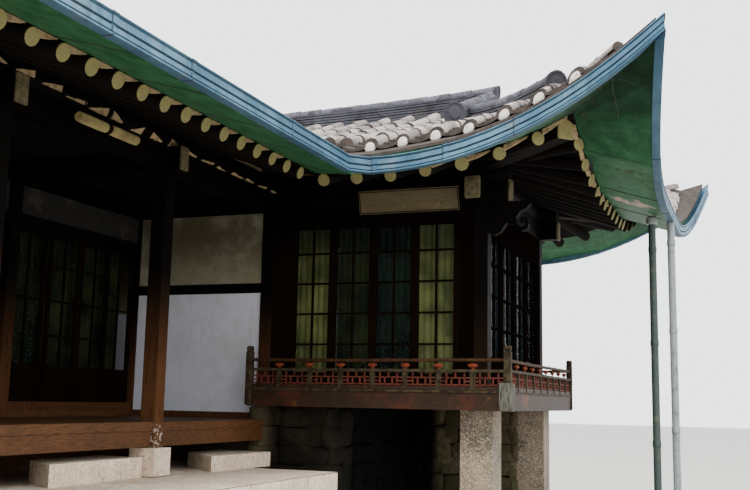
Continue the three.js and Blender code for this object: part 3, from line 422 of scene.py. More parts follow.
# Short names for the outlines, whose points lie at a distance along the eave and a distance up the slope
E, F, P, M, H, G = TILE_EDGE, EAVE_EDGE, PAVILION_HALF, MAIN_HALF, GABLE_PAVILION, GABLE_MAIN
LONG = CORNER_Y - SOUTH
WIDE = EAST - CORNER_X
DEEP = NORTH - CORNER_Y
BACK = EAST - WEST
WHOLE = NORTH - SOUTH
END = CORNER_X - WEST
slopes = {
    "courtyard": Slope((CORNER_X, SOUTH), (0, 1), (-1, 0), LONG, (True, False), [
        (E, E), (LONG + E, E), (LONG + P, P), (LONG + 2 * P - M, M), (G, M), (G, G)]),
    "front": Slope((CORNER_X, CORNER_Y), (1, 0), (0, 1), WIDE, (False, True), [
        (-F, F), (WIDE - F, F), (WIDE - H, H), (WIDE - H, P), (-P, P)]),
    "side": Slope((EAST, CORNER_Y), (0, 1), (-1, 0), DEEP, (True, True), [
        (F, F), (DEEP - F, F), (DEEP - H, H), (H, H)], 0.235),
    "rear": Slope((EAST, NORTH), (-1, 0), (0, -1), BACK, (True, True), [
        (F, F), (BACK - F, F), (BACK - M, M), (WIDE + P, P), (H, P), (H, H)]),
    "back": Slope((WEST, NORTH), (0, -1), (1, 0), WHOLE, (True, True), [
        (F, F), (WHOLE - F, F), (WHOLE - G, G), (WHOLE - G, M), (M, M)]),
    "end": Slope((WEST, SOUTH), (1, 0), (0, 1), END, (True, True), [
        (F, F), (END - F, F), (END - G, G), (G, G)]),
}

# Round tiles in rows up the slope
# Each is a tapered half pipe of fired clay that laps the one below it; they are bedded over the joints
# between the pans, and the lowest one of each row is stopped with lime plaster.
clay = Paint("weathered_clay_tile")
fine = clay.noise(38, 5, 0.7)
clay_base = clay.mix(clay.cell_tint(3.4), (104, 97, 95), (182, 173, 168))
grime = clay.step(fine, 0.4, 0.68) * 0.7
lichen = clay.step(clay.noise(2.3, 6, 0.7), 0.54, 0.7) * 0.55
clay_colour = clay.over(clay_base, (grime, (62, 54, 50)), (lichen, (186, 168, 146)))
clay_finish = clay.wear(clay_colour, 0.88, fine, 0.004, 0.6)
# The pans, the mud bedding under the lowest tiles, and the ends and rims of the round tiles take this dark
# coat: painted shade in the gaps between the round tiles and under their mouths, with some dirt.
pan_shade_finish = worn_finish(
    "pan_tile_in_shade", (9, 6, 0.7), (0.35, 0.7), (62, 52, 46), (28, 23, 20), 0.9, (0.004, 0.6))
disc_finish = worn_finish(
    "tile_end_plaster", (26, 5, 0.7), (0.5, 0.72), (206, 200, 192), (126, 116, 108), 0.9, (0.004, 0.6))

bed = Paint("roof_bed_and_boards")
bed_spots = bed.noise(14, 6, 0.7)
bed_top = bed.mix(bed_spots, (84, 76, 70), (48, 42, 38))
# Faces that look down, the boards under the eave, are near black: painted shade.
bed_underside_shade = bed.mix(bed.noise(9, 5, 0.65), (20, 14, 10), (9, 7, 5))
bed_finish = bed.wear(bed.mix(bed.facing(2) < -0.2, bed_top, bed_underside_shade), 0.92, bed_spots, 0.006, 0.5)
coat(bed_finish, *[f"roof_{name}" for name in slopes])

ROW, ROW_GAP, TILE_LONG, PAN_SHOWN = 0.32, 0.1, 0.3, 0.15


def half_pipe(sides, radius, long, taper, lap):
    """A tile of half round, laid along its run and narrower at the upper end."""
    bpy.ops.object.select_all(action="DESELECT")
    MESH.primitive_cylinder_add(vertices=sides, radius=radius, depth=long)
    tile = bpy.context.object
    edited(ALL, (MESH.bisect, {"plane_co": (0, -0.012, 0), "plane_no": (0, 1, 0), "clear_inner": True}))
    for vertex in tile.data.vertices:
        across, high, run = vertex.co
        narrow = 1 - taper * (run / TILE_LONG + 0.5)
        vertex.co = (across * narrow, run + lap + TILE_LONG / 2, high * narrow)
    return tile


round_tile = half_pipe(12, 0.08, TILE_LONG + 0.03, 0.14, 0.015)
for edge in round_tile.data.edges:
    edge.select = all(round_tile.data.vertices[i].co.y < 0.01 for i in edge.vertices)
edited(
    (MESH.extrude_region_move, {"TRANSFORM_OT_translate": {"value": (0, 0, 0)}}),
    (bpy.ops.transform.resize, {"value": (0.9, 1, 0.9), "center_override": (0, 0, 0)}))
# The ends and rims take the pans' dark coat: painted shade under the tile's mouth.
for face in round_tile.data.polygons:
    face.material_index = 1 if abs(face.normal.y) > 0.9 else 0


def in_order(piece):
    """A piece built again with its points and faces listed by place.

    Extruding leaves them in an order that changes from run to run, and the shading follows that order.
    """
    points = [tuple(vertex.co) for vertex in piece.data.vertices]
    ranks = sorted(range(len(points)), key=lambda i: [round(c, 5) for c in points[i]])
    faces = []
    for face in piece.data.polygons:
        corners = [ranks.index(i) for i in face.vertices]
        turn = corners.index(min(corners))
        faces.append((corners[turn:] + corners[:turn], face.material_index))
    faces.sort()
    name = piece.name
    bpy.data.objects.remove(piece)
    return mesh_piece(name, [points[i] for i in ranks], *map(list, zip(*faces)))


round_tile = in_order(round_tile)

MESH.primitive_grid_add(x_subdivisions=4, y_subdivisions=1, size=1)
pan_tile = bpy.context.object
edited(NONE)
for edge in pan_tile.data.edges:
    edge.select = all(pan_tile.data.vertices[i].co.y < -0.4 for i in edge.vertices)
edited((MESH.extrude_region_move, {"TRANSFORM_OT_translate": {"value": (0, 0.01, -0.03)}}))
for vertex in pan_tile.data.vertices:
    across, run, high = vertex.co
    sag = 0.03 * (2 * across) ** 2
    lap = 0.024 * (0.5 - run)
    vertex.co = (across * 0.26, (run + 0.5) * PAN_SHOWN, high + sag + lap)
pan_tile = in_order(pan_tile)

tile_stop = stepped_end(14, 0.058, 0.035, 1, (0.01, 0), (0.012, 0.008))
for face in tile_stop.data.polygons:
    face.material_index = 1 if face.normal.z > 0.3 and face.center.xy.length < 0.0475 else 0
for vertex in tile_stop.data.vertices:
    across, high, run = vertex.co
    vertex.co = (across, -run, high)


def wobble(size):
    return random.uniform(-size, size)


def hang(roof, s, d):
    """How far the lower ends of the tiles hang below the roof's line, less where the eave turns up."""
    share = max(0.0, 1 - (d - roof.eave) / roof.hang_reach)
    return roof.hang_by * share * (1 - 0.8 * min(1.0, roof.lift(s)))


def tile_place(roof, s, d, height, turn=0.0, tip=0.0):
    def place(across, run, high):
        lower = hang(roof, s, d + run)
        return roof.on_roof(s + across + turn * run, d + run, height + high + tip * (run - 0.15) - lower)

    return place


def tile_rows(roof, first, last):
    """Round tiles, pans and plaster stops of one slope."""
    rounds, pans, stops = [], [], []
    count = int((last - first) / ROW)
    step = (last - first) / count
    for i in range(count + 1):
        s = first + i * step
        span = roof.span(s)
        if span is None or span[1] - span[0] < 0.3:
            continue
        low, high = span
        at_eave = low < roof.eave + 0.01
        low += 0 if at_eave else ROW_GAP
        top = high - (0.09 if high > P - 0.01 else 0.04) - TILE_LONG
        d = low
        while d < top + TILE_LONG - 0.08:
            rest = (0.05 + wobble(0.006), wobble(0.045), wobble(0.04))
            rounds.append(tile_place(roof, s + wobble(0.01), min(d, top), *rest))
            d += TILE_LONG
        if at_eave:
            stops.append(tile_place(roof, s + wobble(0.006), low + 0.018, 0.044))
        middle = roof.span(s + step / 2)
        if i == count or middle is None:
            continue
        d = middle[0]
        while d < middle[1] - PAN_SHOWN - 0.05:
            pans.append(tile_place(roof, s + step / 2, d, 0.014 + wobble(0.003)))
            d += PAN_SHOWN
    return rounds, pans, stops


def bedding_cuts(roof):
    """Cuts through the mud under the lowest tiles, which runs out over the soffit to the gutter."""
    count = int(roof.length / 0.22)
    cuts = []
    for i in range(count + 1):
        share = i / count
        front = roof.deep * (1 - min(1.0, roof.lift(roof.length * share))) + 0.068
        shape = ((front, 3.801), (front, 3.832), (0.4, tile_top(0.4) - 0.038),
                 (0.58, tile_top(0.58) + 0.004), (0.58, tile_top(0.58) - 0.05))
        cut = []
        for d, z in shape:
            start = d if roof.lifted[0] else -d
            finish = roof.length - (d if roof.lifted[1] else -d)
            s = start + (finish - start) * share
            cut.append(roof.spot(s, d, z + roof.lift(s)))
        cuts.append(cut)
    return cuts


for name, roof in slopes.items():
    roof.eave = min(d for s, d in roof.outline)
    roof.hang_by, roof.hang_reach = (0.15, 0.7) if name == "courtyard" else (0.045, 0.3)
    starts = [s for s, d in roof.outline]
    rounds, pans, stops = tile_rows(roof, min(starts) + 0.12, max(starts) - 0.12)
    parts = [
        copies(f"{name}_round_tiles", round_tile, rounds, clay_finish, pan_shade_finish),
        copies(f"{name}_pan_tiles", pan_tile, pans, pan_shade_finish),
        copies(f"{name}_stops", tile_stop, stops, clay_finish, disc_finish),
    ]
    parts.append(painted(swept(f"{name}_bedding", bedding_cuts(roof)), pan_shade_finish))
    assembled(f"tiles_{name}", parts, 40)
for pattern in (pan_tile, tile_stop):
    bpy.data.objects.remove(pattern)

# Ridges
# Dark ridge tiles are laid flat in mortar, course on course, along the tops, the gables' edges and the hips,
# and closed with a row of round tiles; a shield-shaped tile stops the lower end of each.
ridge = Paint("dark_ridge_tile")
ridge_base = ridge.mix(ridge.cell_tint(4.5), (24, 24, 30), (60, 60, 70))
ridge_lime = ridge.step(ridge.noise(3.1, 5, 0.72), 0.54, 0.7) * 0.3
ridge_moss = ridge.step(ridge.noise(5.2, 6, 0.7), 0.58, 0.7) * 0.5
ridge_colour = ridge.over(ridge_base, (ridge_lime, (104, 102, 102)), (ridge_moss, (60, 60, 40)))
ridge_finish = ridge.wear(ridge_colour, 0.85, ridge.noise(30, 5, 0.7), 0.004, 0.6)

ridge_cap = Paint("grey_ridge_cap")
cap_grit = ridge_cap.noise(34, 5, 0.7)
cap_base = ridge_cap.mix(ridge_cap.cell_tint(3.6), (46, 46, 53), (92, 92, 102))
cap_colour = ridge_cap.mix(ridge_cap.step(cap_grit, 0.42, 0.68) * 0.7, cap_base, (30, 30, 34))
cap_finish = ridge_cap.wear(cap_colour, 0.85, cap_grit, 0.004, 0.6)
cap_tile = half_pipe(14, 0.078, TILE_LONG + 0.02, 0.05, 0.01)


def ridge_profile(half, high, low):
    side = []
    z = 0.0
    inset = 0.0
    while z < high - 0.075:
        out = half - inset - (0.0 if len(side) % 8 == 0 else 0.006)
        side += [(out, z + 0.004), (out, z + 0.028), (out - 0.02, z + 0.03), (out - 0.02, z + 0.036)]
        z += 0.036
        inset += 0.004
    cap = 0.062
    top = [(cap * math.cos(a), z + 0.01 + (high - z - 0.005) * math.sin(a)) for a in (0, 0.5, 1.0, 1.57)]
    right_side = [(half, -low)] + side + top
    left_side = [(-u, v) for u, v in reversed(right_side[:-1])]
    return right_side + left_side


def ridge_run(name, line, half, high, low):
    rings = []
    profile = ridge_profile(half, high, low)
    for i, at in enumerate(line):
        before = Vector(line[max(0, i - 1)])
        after = Vector(line[min(len(line) - 1, i + 1)])
        run = (after - before)
        run.z = 0
        run.normalize()
        rings.append([(at[0] - run.y * u, at[1] + run.x * u, at[2] + v) for u, v in profile])
    return swept(name, rings)


def ridge_caps(line, high):
    """Round tiles along the top of a ridge."""
    places = []
    for a, b in zip(line, line[1:]):
        a, b = Vector(a), Vector(b)
        run = b - a
        flat = Vector((run.x, run.y, 0)).normalized()
        steps = max(1, round(flat.dot(run) / TILE_LONG))
        for i in range(steps):
            start = a + run * (i / steps)
            tilt = wobble(0.03)

            def place(across, along, up_by, start=start, run=run, flat=flat, tilt=tilt):
                share = along / flat.dot(run)
                at = start + run * share
                side = Vector((-flat.y, flat.x, 0)) * (across * 0.92 + tilt * along)
                lap = 0.008 * (1 - along / 0.33)
                return (at.x + side.x, at.y + side.y, at.z + high - 0.046 + up_by * 0.92 + lap)

            places.append(place)
    return places


def divided(start, finish, count, height_at):
    shares = [i / count for i in range(count + 1)]
    spots = [(start[0] + (finish[0] - start[0]) * t, start[1] + (finish[1] - start[1]) * t) for t in shares]
    return [(x, y, height_at(t)) for (x, y), t in zip(spots, shares)]


def hip_line(x, y, dx, dy, start, finish):
    def height_at(t):
        d = start + (finish - start) * t
        return tile_top(d) + smooth_upturn(d)

    ends = [(x + dx * d, y + dy * d) for d in (start, finish)]
    return divided(*ends, max(4, int((finish - start) / 0.18)), height_at)


def verge_line(x, y, dx, dy, foot, half):
    ends = [(x + dx * d, y + dy * d) for d in (foot, half)]
    return divided(*ends, 5, lambda t: tile_top(foot + (half - foot) * t) + 0.09)


pavilion_ridge_x = EAST - GABLE_PAVILION
pavilion_ridge_y = (NORTH + CORNER_Y) / 2
main_ridge_x = (CORNER_X + WEST) / 2
pavilion_top = tile_top(PAVILION_HALF)
main_top = tile_top(MAIN_HALF)
# Corners with a hip, each with the way inwards from it; the first two belong to the pavilion
HIP_CORNERS = ((EAST, CORNER_Y, -1, 1), (EAST, NORTH, -1, -1), (WEST, NORTH, 1, -1), (WEST, SOUTH, 1, 1),
               (CORNER_X, SOUTH, -1, 1))
HIP_FOOT = 1.12
# Half width, height and depth below the line of the tiles
VERGE, HIP, PAVILION_HIP = (0.095, 0.22, 0.175), (0.095, 0.17, 0.085), (0.1, 0.235, 0.085)
pavilion_verge_x = pavilion_ridge_x - 0.05
main_verge_y = SOUTH + GABLE_MAIN + 0.12
pavilion_lines = [
    (divided((pavilion_ridge_x, pavilion_ridge_y), (-1.7, pavilion_ridge_y), 14,
             lambda t: pavilion_top + 0.09 * (1 - t) ** 3), 0.105, 0.26, 0.15),
    (verge_line(pavilion_verge_x, CORNER_Y, 0, 1, 1.9, PAVILION_HALF), *VERGE),
    (verge_line(pavilion_verge_x, NORTH, 0, -1, 1.9, PAVILION_HALF), *VERGE),
    (hip_line(*HIP_CORNERS[0], HIP_FOOT, GABLE_PAVILION + 0.1), *PAVILION_HIP),
    (hip_line(*HIP_CORNERS[1], HIP_FOOT, GABLE_PAVILION + 0.1), *PAVILION_HIP),
]
main_lines = [
    (divided((main_ridge_x, SOUTH + GABLE_MAIN), (main_ridge_x, NORTH - MAIN_HALF), 24,
             lambda t: main_top + 0.12 * (1 - t) ** 3), 0.105, 0.28, 0.15),
    (verge_line(CORNER_X, main_verge_y, -1, 0, 2.7, MAIN_HALF), *VERGE),
    (verge_line(WEST, main_verge_y, 1, 0, 2.7, MAIN_HALF), *VERGE),
    (hip_line(*HIP_CORNERS[4], HIP_FOOT, GABLE_MAIN + 0.1), *HIP),
    (hip_line(*HIP_CORNERS[3], HIP_FOOT, GABLE_MAIN + 0.1), *HIP),
    (hip_line(*HIP_CORNERS[2], HIP_FOOT, MAIN_HALF), *HIP),
    (divided((CORNER_X - PAVILION_HALF, pavilion_ridge_y), (main_ridge_x, NORTH - MAIN_HALF), 4,
             lambda t: pavilion_top + (main_top - pavilion_top) * t), *HIP),
]

# Stop tile at the lower end of a ridge
shield = stepped_end(20, 0.125, 0.03, 1, (0.02, 0), (0.006, -0.007), (0.035, 0), (0.01, 0.012))
for vertex in shield.data.vertices:
    across, high, run = vertex.co
    vertex.co = (across * (1.06 if high < 0 else 1), -run, high * (1.15 if high < 0 else 1))


def shield_place(line, high):
    a, b = Vector(line[0]), Vector(line[1])
    flat = Vector((b.x - a.x, b.y - a.y, 0)).normalized()

    def place(across, run, up_by):
        lean = -0.25 * up_by
        at = a + flat * (run - 0.012 + lean)
        return (at.x - flat.y * across, at.y + flat.x * across, at.z + high - 0.09 + up_by)

    return place


def ridge_piece(name, lines):
    parts = [ridge_run(f"{name}_run_{i}", *line) for i, line in enumerate(lines)]
    caps = [place for line in lines for place in ridge_caps(line[0], line[2])]
    ends = [shield_place(line[0], line[2]) for line in lines]
    parts.append(copies(f"{name}_ends", shield, ends))
    for part in parts:
        painted(part, ridge_finish)
    parts.append(copies(f"{name}_caps", cap_tile, caps, cap_finish))
    return assembled(name, parts, 30)


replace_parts(ridge_piece("ridge_courses_pavilion", pavilion_lines), "ridge_pavilion")
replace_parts(ridge_piece("ridge_courses_main", main_lines), "ridge_main")

# Short rows of round tiles that carry each hip on from the ridge's foot to the corner of the eaves
corner_rows = []
for hip_corner in HIP_CORNERS:
    corner_rows += ridge_caps(hip_line(*hip_corner, 0.42, 1.18)[::2], 0.05)
hip_tiles = copies("hip_tiles", round_tile, corner_rows, clay_finish, pan_shade_finish)
settled(hip_tiles, "hip_tiles", 40)
for pattern in (round_tile, cap_tile, shield):
    bpy.data.objects.remove(pattern)

# Gutter
# A deep channel of painted sheet metal hung round the eaves, its face rolled with a bead at the top, two
# grooves and a bead at the bottom. The lengths lap over each other, and it is cut across the inner corner.
GUTTER_LOW = 3.64
CHAMFER = 0.15
gutter_shape = [
    (0.008, 0.124), (-0.006, 0.13), (-0.012, 0.137), (-0.007, 0.144), (0.004, 0.144), (0.009, 0.136),
    (0.062, 0.006), (0.062, 0.12), (0.066, 0.12), (0.066, -0.004), (0.0, -0.007), (-0.011, -0.004),
    (-0.013, 0.004), (-0.006, 0.011), (0.006, 0.014), (0.006, 0.019), (-0.004, 0.023), (-0.004, 0.053),
    (0.012, 0.058), (0.012, 0.07), (-0.002, 0.074), (-0.002, 0.118), (0.008, 0.12),
]
GROOVES = ((0.006, 0.014, 0.019), (0.012, 0.058, 0.07), (0.008, 0.12, 0.124))


def eave_line(roof):
    finish = roof.length
    stops = [0.0]
    while stops[-1] < finish - 0.3:
        stops.append(stops[-1] + 0.22)
    line = []
    for s in stops:
        out = roof.deep * (1 - roof.lift(s, smooth_upturn))
        line.append(roof.spot(s, out, GUTTER_LOW + roof.lift(s, smooth_upturn)))
    return line


gutter_line = []
for name, roof in slopes.items():
    line = eave_line(roof)
    if name == "front":
        x, y = CORNER_X - roof.deep, CORNER_Y + roof.deep
        gutter_line = [p for p in gutter_line if p[1] < y - CHAMFER - 0.05]
        gutter_line += [(x, y - CHAMFER, GUTTER_LOW), (x + CHAMFER, y, GUTTER_LOW)]
        line = [p for p in line if p[0] > x + CHAMFER + 0.06]
    gutter_line += line


def gutter_ring(i, grow=0.0):
    count = len(gutter_line)
    before, at, after = (Vector(gutter_line[(i + k) % count]) for k in (-1, 0, 1))
    p = Vector((at.x - before.x, at.y - before.y)).normalized()
    q = Vector((after.x - at.x, after.y - at.y)).normalized()
    inward = Vector((-p.y - q.y, p.x + q.x)) / (1 + p.dot(q))
    ring = []
    for u, v in gutter_shape:
        out = u - grow if u < 0.02 else u + grow
        ring.append((at.x + inward.x * out, at.y + inward.y * out, at.z + v + (grow if v > 0.07 else -grow)))
    return ring


blue = Paint("faded_blue_sheet", Specular_IOR_Level=0.25)
runs = blue.noise(9, 5, 0.7, blue.stretched(1, 1, 0.12))
blue_base = blue.mix(blue.step(blue.noise(1.7, 5, 0.65), 0.35, 0.7), (46, 82, 104), (88, 124, 146))
blue_colour = blue.over(
    blue_base,
    (blue.step(blue.noise(3.7, 6, 0.7), 0.5, 0.68) * 0.45, (104, 116, 122)),
    (blue.step(runs, 0.5, 0.7) * 0.6, (54, 78, 88)),
    # Painted shade: faces that look down are darker; the blue is also darker higher up, towards the upturned
    # tips.
    ((blue.facing(2) < -0.6) * 0.6, (38, 62, 76)),
    (blue.step(blue.along(2), 4.0, 4.9) * 0.5, (44, 76, 98)),
    (blue.step(blue.noise(60, 3, 0.6), 0.66, 0.74) * 0.6, (54, 56, 54)))
blue_finish = blue.wear(blue_colour, 0.42 + 0.25 * runs, blue.noise(5, 2), 0.006, 0.3)
# The grooves, and thin strips along the laps, are painted dark as the shade in these folds.
groove_shade_finish = worn_finish(
    "shade_in_grooves", (7, 5, 0.7), None, (18, 30, 38), (40, 56, 64), 0.8, (0.002, 0.3))

gutter_run = swept("gutter_run", [gutter_ring(i) for i in range(len(gutter_line))], True)
painted(gutter_run, blue_finish, groove_shade_finish)
side_count = len(gutter_shape)
in_groove = []
for j, (u, v) in enumerate(gutter_shape):
    u2, v2 = gutter_shape[(j + 1) % side_count]
    in_groove.append(any(u >= deep - 0.002 and u2 >= deep - 0.002 and low <= v <= high and low <= v2 <= high
                         and u < 0.03 and u2 < 0.03 for deep, low, high in GROOVES))
for i, face in enumerate(gutter_run.data.polygons):
    face.material_index = 1 if in_groove[i % side_count] else 0


def lap_at(i, share, wide, grow):
    near = [Vector(p) for p in gutter_ring(i, grow)]
    other = [Vector(p) for p in gutter_ring((i + 1) % len(gutter_line), grow)]
    gap = (other[0] - near[0]).length
    rings = [[p.lerp(q, share + wide * t / gap) for p, q in zip(near, other)] for t in (0, 1)]
    return swept(f"gutter_lap_{i}", rings)


MEASURED_LAPS = ((1.91, -5.573), (1.91, -4.729), (2.132, -1.85), (2.85, -1.85), (3.481, -1.85))
LAP_SPACING = 1.4
lap_stops = [min(range(len(gutter_line) - 1), key=lambda i: math.dist(gutter_line[i][:2], lap))
             for lap in MEASURED_LAPS]
gutter_parts = [gutter_run]
since = 0.0
for i in range(1, len(gutter_line) - 1):
    since += math.dist(gutter_line[i], gutter_line[i + 1])
    too_close = since < LAP_SPACING or any(abs(i - stop) < 5 for stop in lap_stops)
    if too_close and i not in lap_stops:
        continue
    since = 0.0
    gutter_parts.append(painted(lap_at(i, 0.1, 0.05, 0.0026), blue_finish))
    gutter_parts.append(painted(lap_at(i, 0.06, 0.008, 0.0034), groove_shade_finish))
gutter_sheet = assembled("gutter_sheet", gutter_parts, 50)
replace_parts(gutter_sheet, "gutter")

# Soffit
# Green painted sheets close the eaves from the gutter up to the rafter ends; they meet in folded seams, and
# the paint has worn through to rust and bare metal near the gutter.
green = Paint("worn_green_sheet", Specular_IOR_Level=0.12)
rust_field = green.noise(2.6, 8, 0.75)
rust_fine = green.noise(18, 6, 0.75)
streaks = green.noise(5.5, 5, 0.7)
streaked = green.step(streaks, 0.3, 0.75)
worn_places = green.near((4.87, 1.65, 4.3), 0.75).most(green.near((5.15, 3.0, 3.75), 0.55))
bare_places = green.near((4.98, 3.9, 3.66), 0.5)
rust_mask = green.step(rust_field + 0.24 * rust_fine + 0.12 * worn_places, 0.78, 0.86)
bare_mask = green.step(rust_field + 0.2 * rust_fine + 0.3 * bare_places, 0.88, 0.92)
# Painted light and shade: the green is lighter low down by the gutter and darker higher up, deep under the
# eave and at the upturned corners.
low_lit_green = green.mix(streaked, (32, 74, 46), (56, 106, 72))
high_shaded_green = green.mix(streaked, (12, 34, 20), (26, 56, 38))
green_base = green.mix(green.step(green.along(2), 3.8, 4.35), low_lit_green, high_shaded_green)
green_colour = green.over(green_base, (rust_mask * 0.7, (70, 58, 46)), (bare_mask, (166, 138, 122)))
green_finish = green.wear(green_colour, 0.55 + 0.3 * rust_mask, rust_fine + streaks, 0.004, 0.5)
coat(green_finish, "soffit")
# The seams are painted dark as the shade in their folds.
seam_shade_finish = worn_finish(
    "dark_sheet_seam", (12, 5, 0.7), None, (16, 28, 24), (46, 62, 52), 0.8, (0.002, 0.4))

sheet = nodes["soffit"]
sheet_points = [sheet.matrix_world @ v.co for v in sheet.data.vertices]
soffit_tree = BVHTree.FromPolygons(sheet_points, [tuple(p.vertices) for p in sheet.data.polygons])
SEAM_HALF, SEAM_DEEP, SEAM_SUNK = 0.004, 0.005, 0.006


def seam_ring(roof, s, d):
    """A cut through a folded seam that hangs a little below the sheet at this place."""
    x, y, _ = roof.spot(s, d, 0)
    hit = soffit_tree.ray_cast(Vector((x, y, 2)) + MIDDLE, Vector((0, 0, 1)))[0]
    if hit is None:
        return None
    side = roof.along * SEAM_HALF
    low, high = hit.z - SEAM_DEEP, hit.z + SEAM_SUNK
    return [(x - side.x, y - side.y, high), (x - side.x, y - side.y, low),
            (x + side.x, y + side.y, low), (x + side.x, y + side.y, high)]


SHEET_WIDE = 0.93
seams = []
for name, roof in slopes.items():
    first = 0.5 if roof.lifted[0] else 0.2
    last = roof.length - (0.5 if roof.lifted[1] else -0.4)
    count = round((last - first) / SHEET_WIDE)
    for i in range(count + 1):
        s = first + (last - first) * i / count
        rings = [seam_ring(roof, s + wobble(0.009), 0.3 + 0.6 * t / 11) for t in range(12)]
        rings = [ring for ring in rings if ring]
        if len(rings) > 2:
            seams.append(painted(swept(f"seam_{name}_{i}", rings), seam_shade_finish))
assembled("soffit_seams", seams)

# Rafters
# Round logs, barked and roughly straight, run from the rafter ends at the soffit up over the purlins; the
# logs and the boards over them are painted near black as the shade under the eave, and the sawn ends are
# painted a pale yellow.
old_log = Paint("old_round_log", Specular_IOR_Level=0.1)
log_grain = old_log.noise(14, 5, 0.65)
# Near black: painted shade under the eave.
log_shade_base = old_log.mix(old_log.step(old_log.noise(1.9, 3), 0.3, 0.7), (8, 6, 4), (16, 11, 7))
log_colour = old_log.mix(old_log.step(log_grain, 0.4, 0.7) * 0.6, log_shade_base, (9, 7, 6))
log_finish = old_log.wear(log_colour, 0.85, log_grain, 0.004, 0.5)
pale_end = Paint("painted_log_end")
end_wear = pale_end.noise(22, 6, 0.72)
end_base = pale_end.mix(pale_end.step(end_wear, 0.5, 0.72) * 0.7, (122, 115, 70), (80, 70, 42))
end_stain = pale_end.step(pale_end.noise(5, 4, 0.6), 0.56, 0.7) * 0.5
end_finish = pale_end.wear(pale_end.mix(end_stain, end_base, (106, 90, 52)), 0.8, end_wear, 0.004, 0.5)

RAFTER_END, RAFTER_Z, RAFTER_SLOPE, RAFTER_IN = 0.93, 3.78, 0.35, 2.33
# Rafters that fan out at a corner: outer end and inner end along the eave, and depth of the inner end
FANNED = ((1.25, 1.73, 1.51), (1.625, 2.01, 1.79), (2.0, 2.24, 2.02))
STRAIGHT_FROM, PAST_INNER_CORNER = 2.375, -0.85
JA = 0.303
bpy.ops.object.select_all(action="DESELECT")
log_pattern = stepped_end(14, 0.066, 1, -1, (0.004, 0.004))
for face in log_pattern.data.polygons:
    face.material_index = 1 if face.normal.z < -0.5 else 0


def rafter_lines(roof, spacing):
    start = STRAIGHT_FROM if roof.lifted[0] else PAST_INNER_CORNER
    finish = roof.length - (STRAIGHT_FROM if roof.lifted[1] else PAST_INNER_CORNER)
    count = int((finish - start) / spacing + 1e-6)
    step = (finish - start) / count if all(roof.lifted) else spacing
    at = [finish - i * step if roof.lifted[1] else start + i * step for i in range(count + 1)]
    lines = [(s, s, RAFTER_IN) for s in at]
    if roof.lifted[0]:
        lines += list(FANNED)
    if roof.lifted[1]:
        lines += [(roof.length - a, roof.length - b, d) for a, b, d in FANNED]
    return lines


def log_place(start, finish):
    a, b = Vector(start), Vector(finish)
    turn = (b - a).to_track_quat("Z", "Y").to_matrix()
    spin = Matrix.Rotation(random.uniform(0, 6.28), 3, "Z")
    thick = 1 + wobble(0.05)

    def place(x, y, z):
        at = a.lerp(b, z + 0.5) + turn @ (spin @ Vector((x * thick, y * thick, 0)))
        return tuple(at)

    return place


ja_apart = {"courtyard": 1.0, "front": 1.2, "side": 1.0, "rear": 1.5, "back": 1.5, "end": 1.5}
rafter_heads = {}
for name, spacing in ja_apart.items():
    roof = slopes[name]
    places = []
    rafter_heads[name] = []
    for outer, inner_s, depth in rafter_lines(roof, JA * spacing):
        head_z = RAFTER_Z + roof.lift(outer)
        if 0 <= outer <= roof.length:
            rafter_heads[name].append((outer, head_z))
        start = roof.spot(outer, RAFTER_END - 0.008, head_z)
        reach = RAFTER_Z + RAFTER_SLOPE * (depth - RAFTER_END) + roof.lift(inner_s)
        places.append(log_place(start, roof.spot(inner_s, depth, reach)))
    logs = copies(f"rafter_logs_{name}", log_pattern, places, log_finish, end_finish)
    settled(logs, f"rafter_logs_{name}", 40)
bpy.data.objects.remove(log_pattern)
coat(log_finish, *[f"rafters_{name}" for name in slopes])

# Painted ends of beams, purlins and hip rafters
# The squared heads that run out over the posts have gone brown; the plates on the ends of the hip rafters
# keep the pale paint of the rafter ends.
brown_finish = worn_finish(
    "browned_beam_end", (18, 6, 0.7), (0.35, 0.7), (92, 84, 54), (48, 40, 25), 0.85, (0.004, 0.5))
POST_LINES = (-2.1975, -4.47, -6.7425, -9.015)
head_sizes = [(0.272, 0.296, y - 0.068, y + 0.068, 3.696, 3.929, 0.01) for y in POST_LINES]
head_sizes.append((2.524, 2.7, -0.345, -0.294, 3.672, 3.914, 0.034))
head_sizes += [(2.908, 2.946, y - 0.07, y + 0.07, 3.69, 3.935, 0.018) for y in (0.075, 2.7414)]
heads = [painted(beam(*sizes), brown_finish) for sizes in head_sizes]
HIP_HEAD = 1.008
hip_head_z = RAFTER_Z + upturn(1.01)
for x, y, dx, dy in HIP_CORNERS:
    plate = beam(-0.088, 0.088, -0.02, 0.012, hip_head_z - 0.112, hip_head_z + 0.112, 0.014)
    plate.rotation_euler = (0, 0, math.atan2(dy, dx) - math.pi / 2)
    plate.location = (x + dx * HIP_HEAD, y + dy * HIP_HEAD, 0)
    heads.append(painted(plate, end_finish))
assembled("painted_heads", heads, 40)

# Lime between the rafters
# Mud and lime were pressed between the logs over the purlins and at the top of the soffit; strips of it show
# as pale patches with ragged edges.
fill_finish = worn_finish(
    "grey_lime_fill", (16, 6, 0.7), (0.42, 0.7), (150, 130, 96), (92, 76, 52), 0.92, (0.006, 0.6))
FILL_LOW, FILL_HIGH, FILL_DEEP = 4.085, 4.2, 0.03


def ragged_strip(name, place, start, finish):
    """A strip of fill with an uneven top and bottom, on a line that place gives."""
    count = max(2, int((finish - start) / 0.05))
    rings = []
    for i in range(count + 1):
        u = start + (finish - start) * i / count
        bottom, top = FILL_LOW + random.uniform(-0.004, 0.012), FILL_HIGH + wobble(0.008)
        corners = ((0, bottom), (FILL_DEEP, bottom), (FILL_DEEP, top), (0, top))
        rings.append([place(u, *corner) for corner in corners])
    return swept(name, rings)


